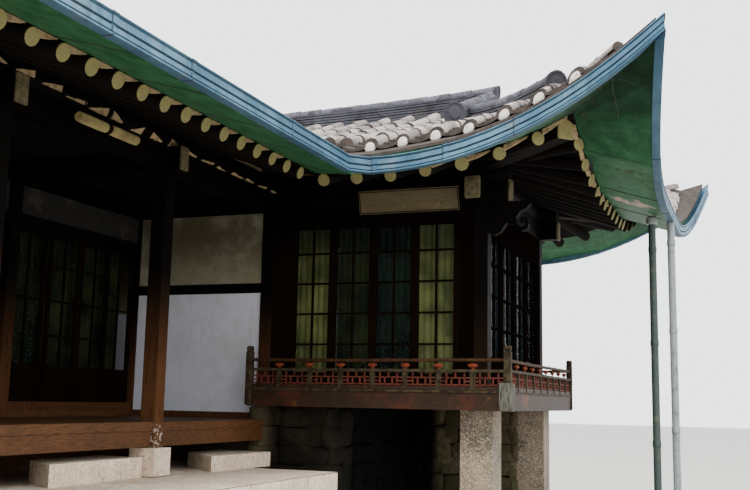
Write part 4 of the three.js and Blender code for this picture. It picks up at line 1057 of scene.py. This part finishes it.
fills = [
    ragged_strip("fill_courtyard", lambda u, out, z: (0.02 - out, u, z), -9.0, -0.12),
    ragged_strip("fill_front", lambda u, out, z: (u, 0.13 + out, z), 0.3, 2.6),
    ragged_strip("fill_side", lambda u, out, z: (2.565 - out, u, z), 0.1, 2.7),
]
for name, reach in (("courtyard", 0.2), ("front", 0.24), ("side", 0.14)):
    roof = slopes[name]
    for s, z in rafter_heads[name]:
        up_the_turn = 1 if name == "front" else -1 if s < roof.length / 2 and roof.lifted[0] else 1
        rings = []
        for t, tall in ((0.0, 0.052), (0.45, 0.034), (1.0, 0.004)):
            at = s + up_the_turn * (0.04 + reach * t)
            top = z + 0.07 + (roof.lift(at) - roof.lift(s))
            rings.append([roof.spot(at, RAFTER_END + out, top - down)
                          for out, down in ((-0.008, 0), (-0.008, tall), (0.03, tall), (0.03, 0))])
        fills.append(swept("wedge_of_fill", rings))

# Thin ragged patches on the round purlin of the porch, one to each gap between rafters
PURLIN_X, PURLIN_Z = 0.075, 4.021
PATCHES_FROM, PATCHES_TO, PATCH_STEP = -6.9, 0.1, 0.309
patch_y = PATCHES_FROM
while patch_y < PATCHES_TO:
    rings = []
    long = random.uniform(0.14, 0.27)
    peak = random.uniform(0.006, 0.032) if patch_y < -2.0 else 0.008
    backwards = random.random() < 0.4
    middle_z = max(3.95, 4.0 - 0.031 * (patch_y + 4.465)) + wobble(0.008)
    for i in range(7):
        share = i / 6 if backwards else 1 - i / 6
        low_z, high_z = middle_z - 0.02 + wobble(0.003), middle_z - 0.012 + peak * 2 * share + wobble(0.003)
        ring = []
        for r, z in ((0.1, low_z), (0.112, low_z), (0.112, high_z), (0.1, high_z)):
            drop = min(0.095, abs(z - PURLIN_Z))
            ring.append((PURLIN_X + math.sqrt(r * r - drop * drop), patch_y + long * i / 6, z))
        rings.append(ring)
    fills.append(swept("patch_on_purlin", rings))
    patch_y += PATCH_STEP
for fill in fills:
    painted(fill, fill_finish)
assembled("lime_between_rafters", fills)

# Posts, beams and doors
# Square pine posts and beams, painted almost black as the shade under the eave and brown lower down, with
# the grain along each member; the doors and the window frames are of the same wood, browner and smoother.
old_frame = Paint("old_dark_frame", Specular_IOR_Level=0.05)
upright = old_frame.noise(9, 5, 0.65, old_frame.stretched(6, 6, 0.35))
lying = old_frame.noise(9, 5, 0.65, old_frame.stretched(0.5, 0.5, 7))
is_beam = old_frame.along(2) > 3.69
frame_grain = upright * (1 - is_beam) + lying * is_beam
# Near black all over as painted shade under the eave; below, mostly on the porch, the frame turns brown with
# the grain.
frame_base = old_frame.mix(old_frame.noise(1.3, 3), (5, 4, 3), (10, 7, 5))
on_porch = old_frame.along(0) < 1.1
lower_brown = old_frame.step(old_frame.along(2), 2.8, 1.5) * (0.25 + 0.75 * on_porch)
splash = old_frame.near((0.98, 0.94, 1.18), 0.2) * old_frame.step(old_frame.noise(26, 5, 0.7), 0.54, 0.58)
frame_colour = old_frame.over(
    frame_base,
    (lower_brown * (0.35 + 0.35 * frame_grain), (110, 72, 44)),
    (old_frame.step(frame_grain, 0.45, 0.7) * 0.7, (6, 4, 3)),
    (splash, (196, 188, 176)))
frame_finish = old_frame.wear(frame_colour, 0.66, frame_grain, 0.004, 0.6)
coat(frame_finish, "timber_frame")

door_wood = Paint("brown_door_wood", Specular_IOR_Level=0.0)
door_grain = door_wood.noise(16, 5, 0.65, door_wood.stretched(5, 5, 0.4))
# Painted shade: the door wood is kept very dark, and darker still high up under the eave and on the
# pavilion's side wall.
door_base = door_wood.mix(door_wood.noise(2.1, 3), (16, 10, 7), (28, 18, 11))
door_shade = door_wood.step(door_wood.along(2), 3.1, 3.5).most(door_wood.along(0) > 3.3)
door_streaks = door_wood.step(door_grain, 0.42, 0.68)
door_colour = door_wood.over(door_base, (door_shade * 0.8, (8, 6, 5)), (door_streaks * 0.65, (13, 9, 7)))
door_finish = door_wood.wear(door_colour, 0.8, door_grain, 0.003, 0.5)
coat(door_finish, "doors_fixed", "door_left", "door_right", "screen_front", "screen_side", "screen_rear")

# Walls
# Lime plaster over lath between the timbers, white on the porch, darkened to tan under the eave as painted
# shade, and stained where water has run.
lime = Paint("aged_lime_plaster")
drips = lime.noise(7, 5, 0.7, lime.stretched(1, 1, 0.15))
# Painted shade: the plaster turns tan and then dark brown going up under the eave.
eave_shade_on_lime = lime.step(lime.along(2), 2.8, 3.5)
lime_base = lime.mix(eave_shade_on_lime > 0, (198, 198, 208), (116, 112, 86))
lime_colour = lime.over(
    lime_base,
    (eave_shade_on_lime, (70, 64, 42)),
    (lime.step(lime.noise(1.6, 6, 0.7), 0.42, 0.72) * 0.45, (158, 154, 144)),
    (lime.step(drips, 0.56, 0.74) * 0.3, (118, 112, 100)))
lime_finish = lime.wear(lime_colour, 0.92, lime.noise(24, 4, 0.6), 0.004, 0.45)
coat(lime_finish, "wall_end", "wall_north", "wall_porch_end", "gable_pavilion", "gable_main")

sooty = Paint("smoked_and_shaded_lime_plaster")
soot = sooty.noise(4.5, 6, 0.7)
soot_base = sooty.mix(sooty.step(soot, 0.35, 0.7), (44, 36, 29), (18, 14, 12))
bare_lime = sooty.step(sooty.noise(2.6, 5, 0.7), 0.56, 0.62)
# Painted shade: on the porch side the smoked plaster is darkened almost to black.
porch_side_shade = sooty.along(0) > -2.5
soot_and_shade_colour = sooty.over(soot_base, (bare_lime * 0.7, (118, 106, 80)), (porch_side_shade * 0.85, (9, 8, 6)))
soot_and_shade_finish = sooty.wear(soot_and_shade_colour, 0.92, soot, 0.004, 0.45)
coat(soot_and_shade_finish, "wall_back", "wall_over_doors")

# Floors
# Narrow boards of pine, hand-worn and oiled, laid across the porch and the rooms; the edge beam of the
# pavilion's floor still has traces of red and yellow paint.
BOARD_WIDE = 0.14


def board_finish_of(name, dark, light, grain_dark, paint_share):
    wood = Paint(name, Specular_IOR_Level=0.2)
    offset = wood.along(1).every(BOARD_WIDE) - 0.5
    gap_line = wood.step(offset.work("ABSOLUTE", offset), 0.47, 0.49) * (wood.facing(2) > 0.5)
    grain = wood.noise(12, 5, 0.65, wood.stretched(0.8, 0.8, 9))
    patches = wood.step(wood.noise(3.3, 6, 0.72), 0.52, 0.62)
    yellow = wood.step(wood.noise(2.1, 5, 0.7), 0.6, 0.66)
    colour = wood.over(
        wood.mix(wood.noise(1.4, 4, 0.6), dark, light),
        (wood.step(grain, 0.42, 0.7) * 0.75, grain_dark),
        (patches * paint_share, (88, 34, 18)),
        (yellow * paint_share, (112, 74, 24)),
        (gap_line, (16, 10, 8)))
    return wood.wear(colour, 0.6, grain - gap_line, 0.005, 0.6)


porch_boards = board_finish_of("worn_porch_boards", (54, 33, 17), (110, 70, 36), (24, 14, 8), 0.0)
edge_boards = board_finish_of("painted_edge_beam", (28, 18, 9), (54, 34, 17), (13, 9, 6), 0.3)
coat(porch_boards, "floor_rooms", "floor_porch")
coat(edge_boards, "floor_pavilion")

# Stone
# Granite pillars, split steps and dressed blocks of the terrace, all from the same pale rock, with grey and
# white grains, rough-pointed faces, and damp low down.
def granite_of(name, pale, deep, joints):
    rock = Paint(name)
    fine_grains = rock.noise(70, 4, 0.7)
    cloud = rock.noise(2.2, 6, 0.68)
    pitted = rock.noise(19, 6, 0.72)
    damp = rock.step(rock.along(2) + 0.5 * cloud, 0.7, 0.25)
    damped = rock.over(
        rock.mix(rock.step(cloud, 0.3, 0.72), deep, pale),
        (rock.step(pitted, 0.45, 0.72) * 0.55, (98, 88, 74)),
        (rock.step(rock.cell_tint(110, 0), 0.7, 0.8) * 0.4, (84, 76, 66)),
        (rock.step(rock.cell_tint(110, 1), 0.74, 0.8) * 0.35, (214, 202, 184)),
        (rock.step(fine_grains, 0.45, 0.7) * 0.3, (120, 108, 92)),
        (damp * 0.5, (92, 92, 70)))
    if not joints:
        return rock.wear(damped, 0.88, pitted * 0.6 + fine_grains * 0.4, 0.014, 0.8)
    course_wall = rock.add("ShaderNodeCombineXYZ", inputs=[rock.along(0) + rock.along(1), rock.along(2)])
    blocks = rock.add("ShaderNodeTexBrick", {"offset": 0.5}, {
        "Vector": course_wall, "Color1": (1, 1, 1, 1), "Color2": (0.9, 0.9, 0.9, 1), "Mortar": (0, 0, 0, 1),
        "Scale": 1.0, "Mortar Size": 0.008, "Mortar Smooth": 0.4, "Brick Width": 1.15, "Row Height": 0.277})
    is_side = 1 - (rock.facing(2) > 0.5)
    block_mask = rock.along(0, blocks) * is_side + (1 - is_side)
    jointed = rock.mix(block_mask, (62, 56, 48), damped)
    return rock.wear(jointed, 0.88, pitted * 0.5 + block_mask + fine_grains * 0.3, 0.014, 0.8)


coat(granite_of("terrace_granite", (250, 228, 208), (216, 192, 168), True), "terrace")
coat(granite_of("step_granite", (254, 236, 210), (218, 194, 164), False), "step_long", "step_short")
coat(granite_of("pillar_granite", (134, 118, 96), (62, 53, 41), False), "pillar_front", "pillar_back")

# Field stones
# Rough stones from the hill, set in mud and lime with their flattest faces out, carry the rooms and the
# pavilion's inner side; moss grows low down, and the recess under the floor and the stones under the deck
# are painted black as shade.
mud = Paint("mud_between_stones", Specular_IOR_Level=0.1)
mud_spots = mud.noise(14, 6, 0.7)
# Painted shade: the recess under the floor is black.
under_floor_shade = mud.step(mud.along(1), 3.3, 3.75) * mud.step(mud.along(0), 0.75, 0.85) * (mud.along(0) < 3.62)
mud_colour = mud.over(mud.mix(mud_spots, (74, 66, 54), (40, 35, 28)), (under_floor_shade, (3, 3, 3)))
mud_finish = mud.wear(mud_colour, 0.95, mud_spots, 0.01, 0.7)
coat(mud_finish, "foundation", "plinth")

rubble_paint = Paint("mossy_field_stone", Specular_IOR_Level=0.1)
stone_pits = rubble_paint.noise(20, 6, 0.7)
stone_x, stone_y = rubble_paint.along(0), rubble_paint.along(1)
moss = rubble_paint.step(rubble_paint.noise(2.4, 6, 0.7) - 0.1 * rubble_paint.along(2), 0.34, 0.5)
# Painted shade: the recess and the stones under the deck are black, less so at the corner.
stone_recess_shade = rubble_paint.step(stone_y, 3.3, 3.75) * rubble_paint.step(stone_x, 0.75, 0.85)
under_deck_shade = rubble_paint.step(stone_x, 0.98, 1.22) * 0.92
at_corner = rubble_paint.step(stone_x, 2.2, 2.35) * rubble_paint.step(stone_y, 5.5, 5.6)
stone_colour = rubble_paint.over(
    rubble_paint.mix(rubble_paint.cell_tint(3.2), (84, 74, 56), (130, 116, 90)),
    (rubble_paint.step(stone_pits, 0.4, 0.7) * 0.6, (60, 54, 44)),
    (moss * 0.65, (66, 68, 42)),
    (stone_recess_shade.most(under_deck_shade) * (1 - 0.6 * at_corner), (4, 4, 4)))
stone_finish = rubble_paint.wear(stone_colour, 0.92, stone_pits, 0.012, 0.8)

bpy.ops.object.select_all(action="DESELECT")
MESH.primitive_cube_add(size=1)
field_stone = bpy.context.object
edited(ALL, (MESH.subdivide, {"number_cuts": 3}))
for vertex in field_stone.data.vertices:
    ball = vertex.co.normalized() * 0.62
    vertex.co = vertex.co.lerp(ball, 0.45)


def stone_place(corner, along, out, u, z, wide, tall, deep):
    """Sets one stone in a wall that starts at corner and runs along, with its own lumps and tilt."""
    lumps = [Vector((wobble(1), wobble(1), wobble(1))) for _ in range(3)]
    tilt = wobble(0.12)

    def place(x, y, z_in):
        p = Vector((x, y, z_in))
        lump = sum(0.07 * math.sin(4 * p.dot(way) + 2 * i) for i, way in enumerate(lumps))
        p *= 1 + lump
        across = p.x * wide + tilt * p.z * tall
        up_by = p.z * tall - tilt * p.x * wide * 0.4
        return (corner[0] + along[0] * (u + across) + out[0] * (p.y * deep),
                corner[1] + along[1] * (u + across) + out[1] * (p.y * deep), max(0.003, z + up_by))

    return place


COURSE = 0.2


def rubble_wall(start, finish, low, high, out):
    """Places for the stones of one wall face, in uneven courses."""
    long = math.dist(start, finish)
    along = ((finish[0] - start[0]) / long, (finish[1] - start[1]) / long)
    places = []
    courses = max(1, round((high - low) / COURSE))
    tall = (high - low) / courses
    for course in range(courses):
        u = random.uniform(-0.1, 0.0)
        while u < long:
            wide = random.uniform(0.2, 0.42)
            middle = min(u + wide / 2, long - wide / 2)
            at_z = low + tall * (course + 0.5) + wobble(0.02)
            size = (wide * 1.02, tall * random.uniform(0.98, 1.16), random.uniform(0.09, 0.14))
            places.append(stone_place(start, along, out, middle, at_z, *size))
            u += wide
    return places


DECK_LOW = 1.47
TERRACE_Z, PLINTH_TOP = 0.83, 1.28
PAVILION_FACES = (
    ((0.02, 0.0), (0.9, 0.0), (0, -1)), ((0.9, 0.02), (0.9, 2.54), (1, 0)),
    ((0.9, 2.54), (2.38, 2.54), (0, -1)), ((2.38, 2.83), (0.0, 2.83), (0, 1)),
    ((2.38, 2.55), (2.38, 2.83), (1, 0)))
PLINTH_FACES = (
    ((-4.58, 2.8), (-4.58, -9.1), (-1, 0)), ((-4.58, -9.125), (-1.63, -9.125), (0, -1)),
    ((0.0, 2.851), (-4.58, 2.851), (0, 1)))
rubble = []
for start, finish, out in PAVILION_FACES:
    rubble += rubble_wall(start, finish, 0.0, DECK_LOW, out)
for start, finish, out in PLINTH_FACES:
    rubble += rubble_wall(start, finish, TERRACE_Z, PLINTH_TOP, out)
rubble_stones = copies("field_stones", field_stone, rubble, stone_finish)
bpy.data.objects.remove(field_stone)
settled(rubble_stones, "field_stones", 60)

# Glass and curtains
# Old flat glass in the leaves, with pleated cotton curtains drawn behind it.
pane = Paint("old_window_glass", Roughness=0.2, Alpha=0.2, Specular_IOR_Level=0.1)
pane.material.surface_render_method = "DITHERED"
pane_colour = pane.mix(pane.noise(4, 4, 0.6), (34, 46, 46), (18, 26, 26))
coat(pane.wear(pane_colour, 0.2), "glass_front", "glass_side", "glass_rear", "glass_doors")


def curtain_finish(name, dark, light):
    cloth = Paint(name, Specular_IOR_Level=0.2)
    low_shade = cloth.step(cloth.along(2), 3.45, 2.9)
    colour = cloth.mix(cloth.step(cloth.noise(3, 3, 0.5), 0.3, 0.7), dark, light)
    shaded = cloth.mix(0.75 - 0.75 * low_shade, colour, (20, 24, 16))
    return cloth.wear(shaded, 0.9, cloth.noise(60, 2), 0.001, 0.2)


yellow_cloth = curtain_finish("yellow_green_cotton", (86, 94, 50), (144, 152, 88))
green_cloth = curtain_finish("deep_green_cotton", (14, 24, 19), (34, 50, 38))
mixed_cloth = curtain_finish("olive_cotton", (22, 30, 14), (56, 66, 30))
shade_cloth = curtain_finish("cotton_in_shade", (9, 12, 9), (40, 48, 22))
grey_cloth = curtain_finish("blue_grey_cotton", (8, 12, 16), (26, 36, 44))
PLEAT, PLEAT_DEEP = 0.075, 0.018


def curtain(name, axis, low, high, at, start, finish, cloth):
    """A pleated sheet that hangs along x or y, with its size when pulled flat."""
    columns = int((finish - start) / PLEAT * 8)
    rows = 10
    points, faces = [], []
    for j in range(rows + 1):
        z = low + (high - low) * j / rows
        loose = 1 - 0.45 * j / rows
        for i in range(columns + 1):
            run = start + (finish - start) * i / columns
            phase = 2 * math.pi * (run - start) / PLEAT + 0.9 * math.sin(2.1 * run + 1.3 * z)
            out = at + PLEAT_DEEP * loose * math.sin(phase)
            points.append((run, out, z) if axis == "x" else (out, run, z))
    for j in range(rows):
        for i in range(columns):
            a = j * (columns + 1) + i
            faces.append((a, a + 1, a + columns + 2, a + columns + 1))
    piece = painted(mesh_piece(name, points, faces), cloth)
    settled(piece, name, 80)
    area = sum(face.area for face in piece.data.polygons)
    return piece, (area / (high - low), high - low)


# For each wall: the way it runs, what carries its curtains, how low and high they hang, and for each curtain
# its plane, its two ends and its cloth
curtain_walls = {
    "front": ("x", "screen_front", 1.815, 3.5, (
        (0.1, 0.42, 0.89, yellow_cloth), (0.12, 0.93, 1.37, mixed_cloth),
        (0.12, 1.4, 1.83, green_cloth), (0.1, 1.86, 2.34, yellow_cloth))),
    "side": ("y", "screen_side", 1.9, 3.44, ((2.52, 0.3, 1.36, grey_cloth), (2.52, 1.44, 2.5, grey_cloth))),
    "rear": ("x", "screen_rear", 1.9, 3.44, (
        (2.64, 0.35, 1.28, mixed_cloth), (2.64, 1.36, 2.3, mixed_cloth))),
    "wing": ("y", "doors_fixed", 1.84, 3.28, (
        (-1.86, -2.1, -0.1, shade_cloth), (-1.86, -4.38, -2.3, shade_cloth),
        (-1.86, -6.65, -4.56, shade_cloth), (-1.86, -8.9, -6.84, shade_cloth))),
}
for wall, (axis, carrier, low, high, hangings) in curtain_walls.items():
    for i, hanging in enumerate(hangings, 1):
        piece, flat = curtain(f"curtain_{wall}_{i}", axis, low, high, *hanging)

# Railing
# Low panels round the balcony: posts with a rail above and a rail below, a centre square of red lattice held
# by bars that step outwards, and a thin round handrail on carved lotus brackets.
red_finish = worn_finish(
    "worn_red_lattice", (12, 6, 0.7), (0.48, 0.66), (92, 46, 36), (46, 28, 20), 0.7, (0.002, 0.4), 0.1)
sage_finish = worn_finish(
    "worn_sage_frame", (10, 6, 0.7), (0.4, 0.62), (62, 54, 38), (34, 25, 16), 0.72, (0.002, 0.4), 0.1)
lotus_finish = worn_finish(
    "orange_lotus", (20, 5, 0.7), (0.48, 0.68), (108, 48, 28), (56, 32, 18), 0.7, (0.002, 0.4), 0.15)
handrail_finish = worn_finish(
    "brown_handrail", (12, 5, 0.7), (0.35, 0.7), (66, 44, 26), (32, 21, 13), 0.7, (0.002, 0.4), 0.1)
block_finish = worn_finish(
    "bleached_post_block", (14, 5, 0.7), (0.35, 0.7), (92, 92, 84), (46, 42, 34), 0.85, (0.004, 0.5), 0.1,
    (4, 4, 0.6))


def rail_place(start, finish):
    a = Vector((*start, 0))
    run = Vector((*finish, 0)) - a
    flat = run.normalized()
    side = Vector((-flat.y, flat.x, 0))

    def place(along, out, z):
        at = a + flat * along + side * out
        return (at.x, at.y, z)

    return place


BOX_FACES = ((0, 3, 2, 1), (4, 5, 6, 7), (0, 1, 5, 4), (1, 2, 6, 5), (2, 3, 7, 6), (3, 0, 4, 7))


def bars_mesh(name, parts, *finishes):
    points, faces, kinds = [], [], []
    for place, a, b, half, z0, z1, kind in parts:
        first = len(points)
        ring = ((a, -half), (b, -half), (b, half), (a, half))
        points += [place(along, out, z) for z in (z0, z1) for along, out in ring]
        faces += [tuple(first + i for i in quad) for quad in BOX_FACES]
        kinds += [kind] * 6
    return painted(mesh_piece(name, points, faces, kinds), *finishes)


RAIL_Y, RAIL_X, RAIL_END_Y = -0.3, 2.986, 3.112
BOTTOM, TOP = 1.655, 1.893
BOTTOM_RAIL, TOP_RAIL = 0.022, 0.028
HANDRAIL_Z, HANDRAIL_R = 1.985, 0.018
LOTUS_Z = 1.891
THIN = 0.0065
INNER_HALF, OUTER_HALF, SQUARE_HALF = 0.042, 0.096, 0.036
RED, SAGE = 0, 1
rail_parts = []
lotus_spots = []


def lattice(place, left, right_side, low, high):
    """One panel: a centre square in a larger one, joined to the frame by short bars."""
    middle, centre = (left + right_side) / 2, (low + high) / 2
    square_low, square_high = centre - SQUARE_HALF, centre + SQUARE_HALF

    def lying(u0, u1, z):
        rail_parts.append((place, min(u0, u1), max(u0, u1), 0.01, z - THIN, z + THIN, RED))

    def upright(u, z0, z1):
        rail_parts.append((place, u - THIN, u + THIN, 0.01, z0, z1, RED))

    for side, edge_u in ((-1, left), (1, right_side)):
        inner_u, outer_u = middle + side * INNER_HALF, middle + side * OUTER_HALF
        upright(inner_u, square_low, square_high)
        upright(outer_u, low, centre - 0.03)
        upright(outer_u, centre + 0.03, high)
        for z in (square_low, square_high):
            lying(inner_u, edge_u, z)
        lying(edge_u, outer_u, centre)
        upright(outer_u, square_low, square_high)
    for z in (square_low, square_high):
        lying(middle - INNER_HALF, middle + INNER_HALF, z)
    upright(middle, low, square_low)
    upright(middle, square_high, high)


corner_posts = ((0.06, RAIL_Y), (RAIL_X, RAIL_Y), (RAIL_X, RAIL_END_Y), (0.06, RAIL_END_Y))
near_corner = corner_posts[1]
spans = ((corner_posts[0], corner_posts[1], 8), (corner_posts[1], corner_posts[2], 9),
         (corner_posts[3], corner_posts[2], 8))
handrails = []
for start, finish, panels in spans:
    place = rail_place(start, finish)
    long = math.dist(start, finish)
    step = long / panels
    low, high = BOTTOM + BOTTOM_RAIL, TOP - TOP_RAIL
    rail_parts.append((place, 0.03, long - 0.03, 0.028, BOTTOM, low, SAGE))
    rail_parts.append((place, 0.03, long - 0.03, 0.03, high, TOP, SAGE))
    for i in range(1, panels):
        rail_parts.append((place, i * step - 0.012, i * step + 0.012, 0.026, BOTTOM, TOP, SAGE))
        lotus_spots.append((place, i * step))
    for i in range(panels):
        left = i * step + (0.036 if i == 0 else 0.015)
        right_side = (i + 1) * step - (0.036 if i == panels - 1 else 0.015)
        for u in (left, right_side - 0.012):
            rail_parts.append((place, u, u + 0.012, 0.016, low, high, SAGE))
        lattice(place, left + 0.012, right_side - 0.012, low, high)
    turns = [a * math.pi / 5 for a in range(10)]
    rounded = [(HANDRAIL_R * math.cos(a), HANDRAIL_R * math.sin(a)) for a in turns]
    rings = []
    for t in (i / 12 for i in range(13)):
        z = HANDRAIL_Z - 0.004 * math.sin(5 * t)
        rings.append([place(long * t, out, z + rise) for out, rise in rounded])
    handrails.append(painted(swept("handrail", rings), handrail_finish))
panels_piece = bars_mesh("railing_panels", rail_parts, red_finish, sage_finish)

newels = []
for x, y in corner_posts:
    newels.append(painted(beam(x - 0.036, x + 0.036, y - 0.036, y + 0.036, 1.49, 2.075, 0.006), sage_finish))
    MESH.primitive_cylinder_add(vertices=16, radius=0.04, depth=0.06, location=(x, y, 2.105))
    newels.append(painted(bevelled(bpy.context.object, 0.016, 3), sage_finish))
x, y = near_corner
newels.append(painted(beam(x - 0.08, x + 0.058, y - 0.07, y + 0.07, 1.476, 1.76, 0.012), block_finish))

# Lotus bracket: a stem and a wide open cup, turned flat; each cut has its height and its width
LOTUS_CUTS = ((0.0, 0.018), (0.02, 0.014), (0.026, 0.028), (0.04, 0.046), (0.056, 0.052), (0.068, 0.046),
              (0.08, 0.02))
lotus_rings = []
for rise, wide in LOTUS_CUTS:
    ring = []
    for a in range(12):
        r = wide * (1 + (0.1 if a % 2 else -0.04) * (rise > 0.03))
        ring.append((r * math.cos(a * math.pi / 6), 0.5 * r * math.sin(a * math.pi / 6), 0.8 * rise))
    lotus_rings.append(ring)
lotus = swept("lotus", lotus_rings)


def lotus_place(place, along):
    return lambda x, y, z: place(along + x, y, LOTUS_Z + z)


lotus_piece = copies("lotus_brackets", lotus, [lotus_place(*spot) for spot in lotus_spots], lotus_finish)
bpy.data.objects.remove(lotus)
railing = assembled("balcony_railing", [panels_piece, lotus_piece, *handrails, *newels], 35)
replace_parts(railing, "railing")

# Carved wing bracket
# A plank of pine sawn and carved into a curl, let into the corner post below the beam's end and run out
# beyond it to carry the eave purlin.
WING_EDGE = [
    (0.0, 0.0), (0.0, -0.33), (0.06, -0.36), (0.13, -0.33), (0.17, -0.27), (0.2, -0.23), (0.26, -0.25),
    (0.31, -0.3), (0.36, -0.33), (0.42, -0.31), (0.44, -0.25), (0.42, -0.19), (0.37, -0.17), (0.34, -0.2),
    (0.35, -0.24), (0.38, -0.24), (0.36, -0.21), (0.39, -0.21), (0.4, -0.26), (0.35, -0.29), (0.31, -0.25),
    (0.3, -0.18), (0.34, -0.12), (0.42, -0.08), (0.46, -0.03), (0.44, 0.0),
]
POST_FACE_X, POST_MIDDLE_Y, BEAM_LOW = 2.692, 0.075, 3.69
WING_HALF = 0.045
count = len(WING_EDGE)
wing_points = [(POST_FACE_X + u, POST_MIDDLE_Y + across, BEAM_LOW + v)
               for across in (-WING_HALF, WING_HALF) for u, v in WING_EDGE]
wing_faces = [tuple(range(count)), tuple(reversed(range(count, 2 * count)))]
wing_faces += [(i, count + i, count + (i + 1) % count, (i + 1) % count) for i in range(count)]
wing = bevelled(outward(mesh_piece("wing", wing_points, wing_faces)))
settled(painted(wing, frame_finish), "carved_wing_brackets")

# Sign board
# A bare plank with a thin dark frame nailed round it, leaning out under the eave.
aged = Paint("aged_sign_plank")
aged_grain = aged.noise(11, 6, 0.68, aged.stretched(0.5, 5, 6))
aged_colour = aged.over(
    aged.mix(aged.noise(3.1, 4, 0.6), (72, 62, 40), (100, 88, 58)),
    (aged.step(aged_grain, 0.42, 0.7) * 0.65, (52, 42, 26)),
    (aged.step(aged.noise(7, 6, 0.75), 0.56, 0.64) * 0.5, (112, 100, 70)))
coat(aged.wear(aged_colour, 0.78, aged_grain, 0.004, 0.6), "sign_board")
# Left and right ends, and low and high edges, of the strips of the rim and of a thin line inside it
RIM = ((1.212, 2.413, -0.004, 0.016), (1.212, 2.413, 0.278, 0.296), (1.212, 1.23, 0.0, 0.292),
       (2.395, 2.413, 0.0, 0.292))
LINE = ((1.25, 2.375, 0.026, 0.034), (1.25, 2.375, 0.258, 0.266), (1.24, 1.248, 0.026, 0.266),
        (2.377, 2.385, 0.026, 0.266))
edge_strips = [beam(x0, x1, -0.028, 0.018, z0, z1, 0.003) for x0, x1, z0, z1 in RIM]
edge_strips += [beam(x0, x1, -0.025, -0.018, z0, z1, 0.002) for x0, x1, z0, z1 in LINE]
for strip in edge_strips:
    painted(strip, door_finish)
board_edge = merged("sign_edge", edge_strips)
board_edge.rotation_euler = (math.radians(14), 0, 0)
board_edge.location = (0, -0.0083, 3.6)
settled(board_edge, "sign_edge")

# Rolled blind
# A blind of split bamboo, rolled up and tied to the edge of the beam over the porch with two cords.
bamboo_finish = worn_finish(
    "split_bamboo", (9, 5, 0.7), (0.4, 0.7), (136, 124, 78), (92, 78, 46), 0.7, (0.002, 0.4))
BLIND_X, BLIND_Z = 0.335, 3.765
SLATS, SLAT_OUT, SLAT_IN = 26, 0.044, 0.04
TIE_Y, TIE_R = -3.47, 0.046


def blind_ring(y, radii):
    """A cut through the roll at y, through points at these distances from its middle."""
    turns = [i * 2 * math.pi / len(radii) for i in range(len(radii))]
    return [(BLIND_X + r * math.cos(a), y, BLIND_Z + r * math.sin(a)) for a, r in zip(turns, radii)]


blind_parts = []
for start, finish in ((-3.86, -3.5), (-3.44, -3.06)):
    rings = []
    for i in range(7):
        tight = 0.94 if i in (0, 6) else 1.0
        radii = [SLAT_IN * tight, SLAT_OUT * tight] * SLATS
        rings.append(blind_ring(start + (finish - start) * i / 6, radii))
    blind_parts.append(painted(swept("blind_roll", rings), bamboo_finish))
tie_rings = [blind_ring(TIE_Y + side, [TIE_R] * 20) for side in (-0.012, 0.012)]
blind_parts.append(painted(swept("blind_tie", tie_rings), log_finish))
for y in (-3.74, -3.2):
    blind_parts.append(painted(beam(0.3, 0.31, y - 0.005, y + 0.005, BLIND_Z, 3.93, 0.002), log_finish))
assembled("rolled_blind", blind_parts, 30)

# Rainwater pipes
# A dark green sheet-metal pipe in socketed lengths with a pale cap under the soffit, and a pale grey one
# behind it under the gutter.
pipe_paint = Paint("dark_pipe_paint")
pipe_wear = pipe_paint.noise(8, 6, 0.7)
pipe_colour = pipe_paint.mix(pipe_paint.step(pipe_wear, 0.5, 0.7), (30, 46, 40), (66, 70, 58))
pipe_finish = pipe_paint.wear(pipe_colour, 0.45 + 0.3 * pipe_wear, pipe_wear, 0.003, 0.3)
pale_pipe_finish = worn_finish(
    "pale_pipe_paint", (9, 6, 0.7), (0.48, 0.7), (120, 126, 126), (86, 90, 88), 0.5, (0.003, 0.3))
coat(pipe_finish, "pipe_dark")
coat(pale_pipe_finish, "pipe_pale")
bpy.ops.object.select_all(action="DESELECT")
MESH.primitive_cylinder_add(vertices=20, radius=0.047, depth=0.07)
collar = bevelled(bpy.context.object, 0.008)
DARK_PIPE, PALE_PIPE = (4.27, 1.25), (4.457, 1.46)


def collar_place(pipe, high, wide=1.0, tall=1.0):
    return lambda x, y, z: (pipe[0] + wide * x, pipe[1] + wide * y, high + tall * z)


dark_places = [collar_place(DARK_PIPE, high) for high in (0.06, 1.15, 2.25, 3.3)]
pale_places = [collar_place(PALE_PIPE, high) for high in (0.06, 1.3, 2.4, 3.4)]
pale_places.append(collar_place(DARK_PIPE, 3.625, 1.34, 1.25))
dark_collars = copies("dark_collars", collar, dark_places, pipe_finish)
pale_collars = copies("pale_collars", collar, pale_places, pale_pipe_finish)
bpy.data.objects.remove(collar)
settled(dark_collars, "pipe_collars", 40)
settled(pale_collars, "pale_pipe_collars", 40)
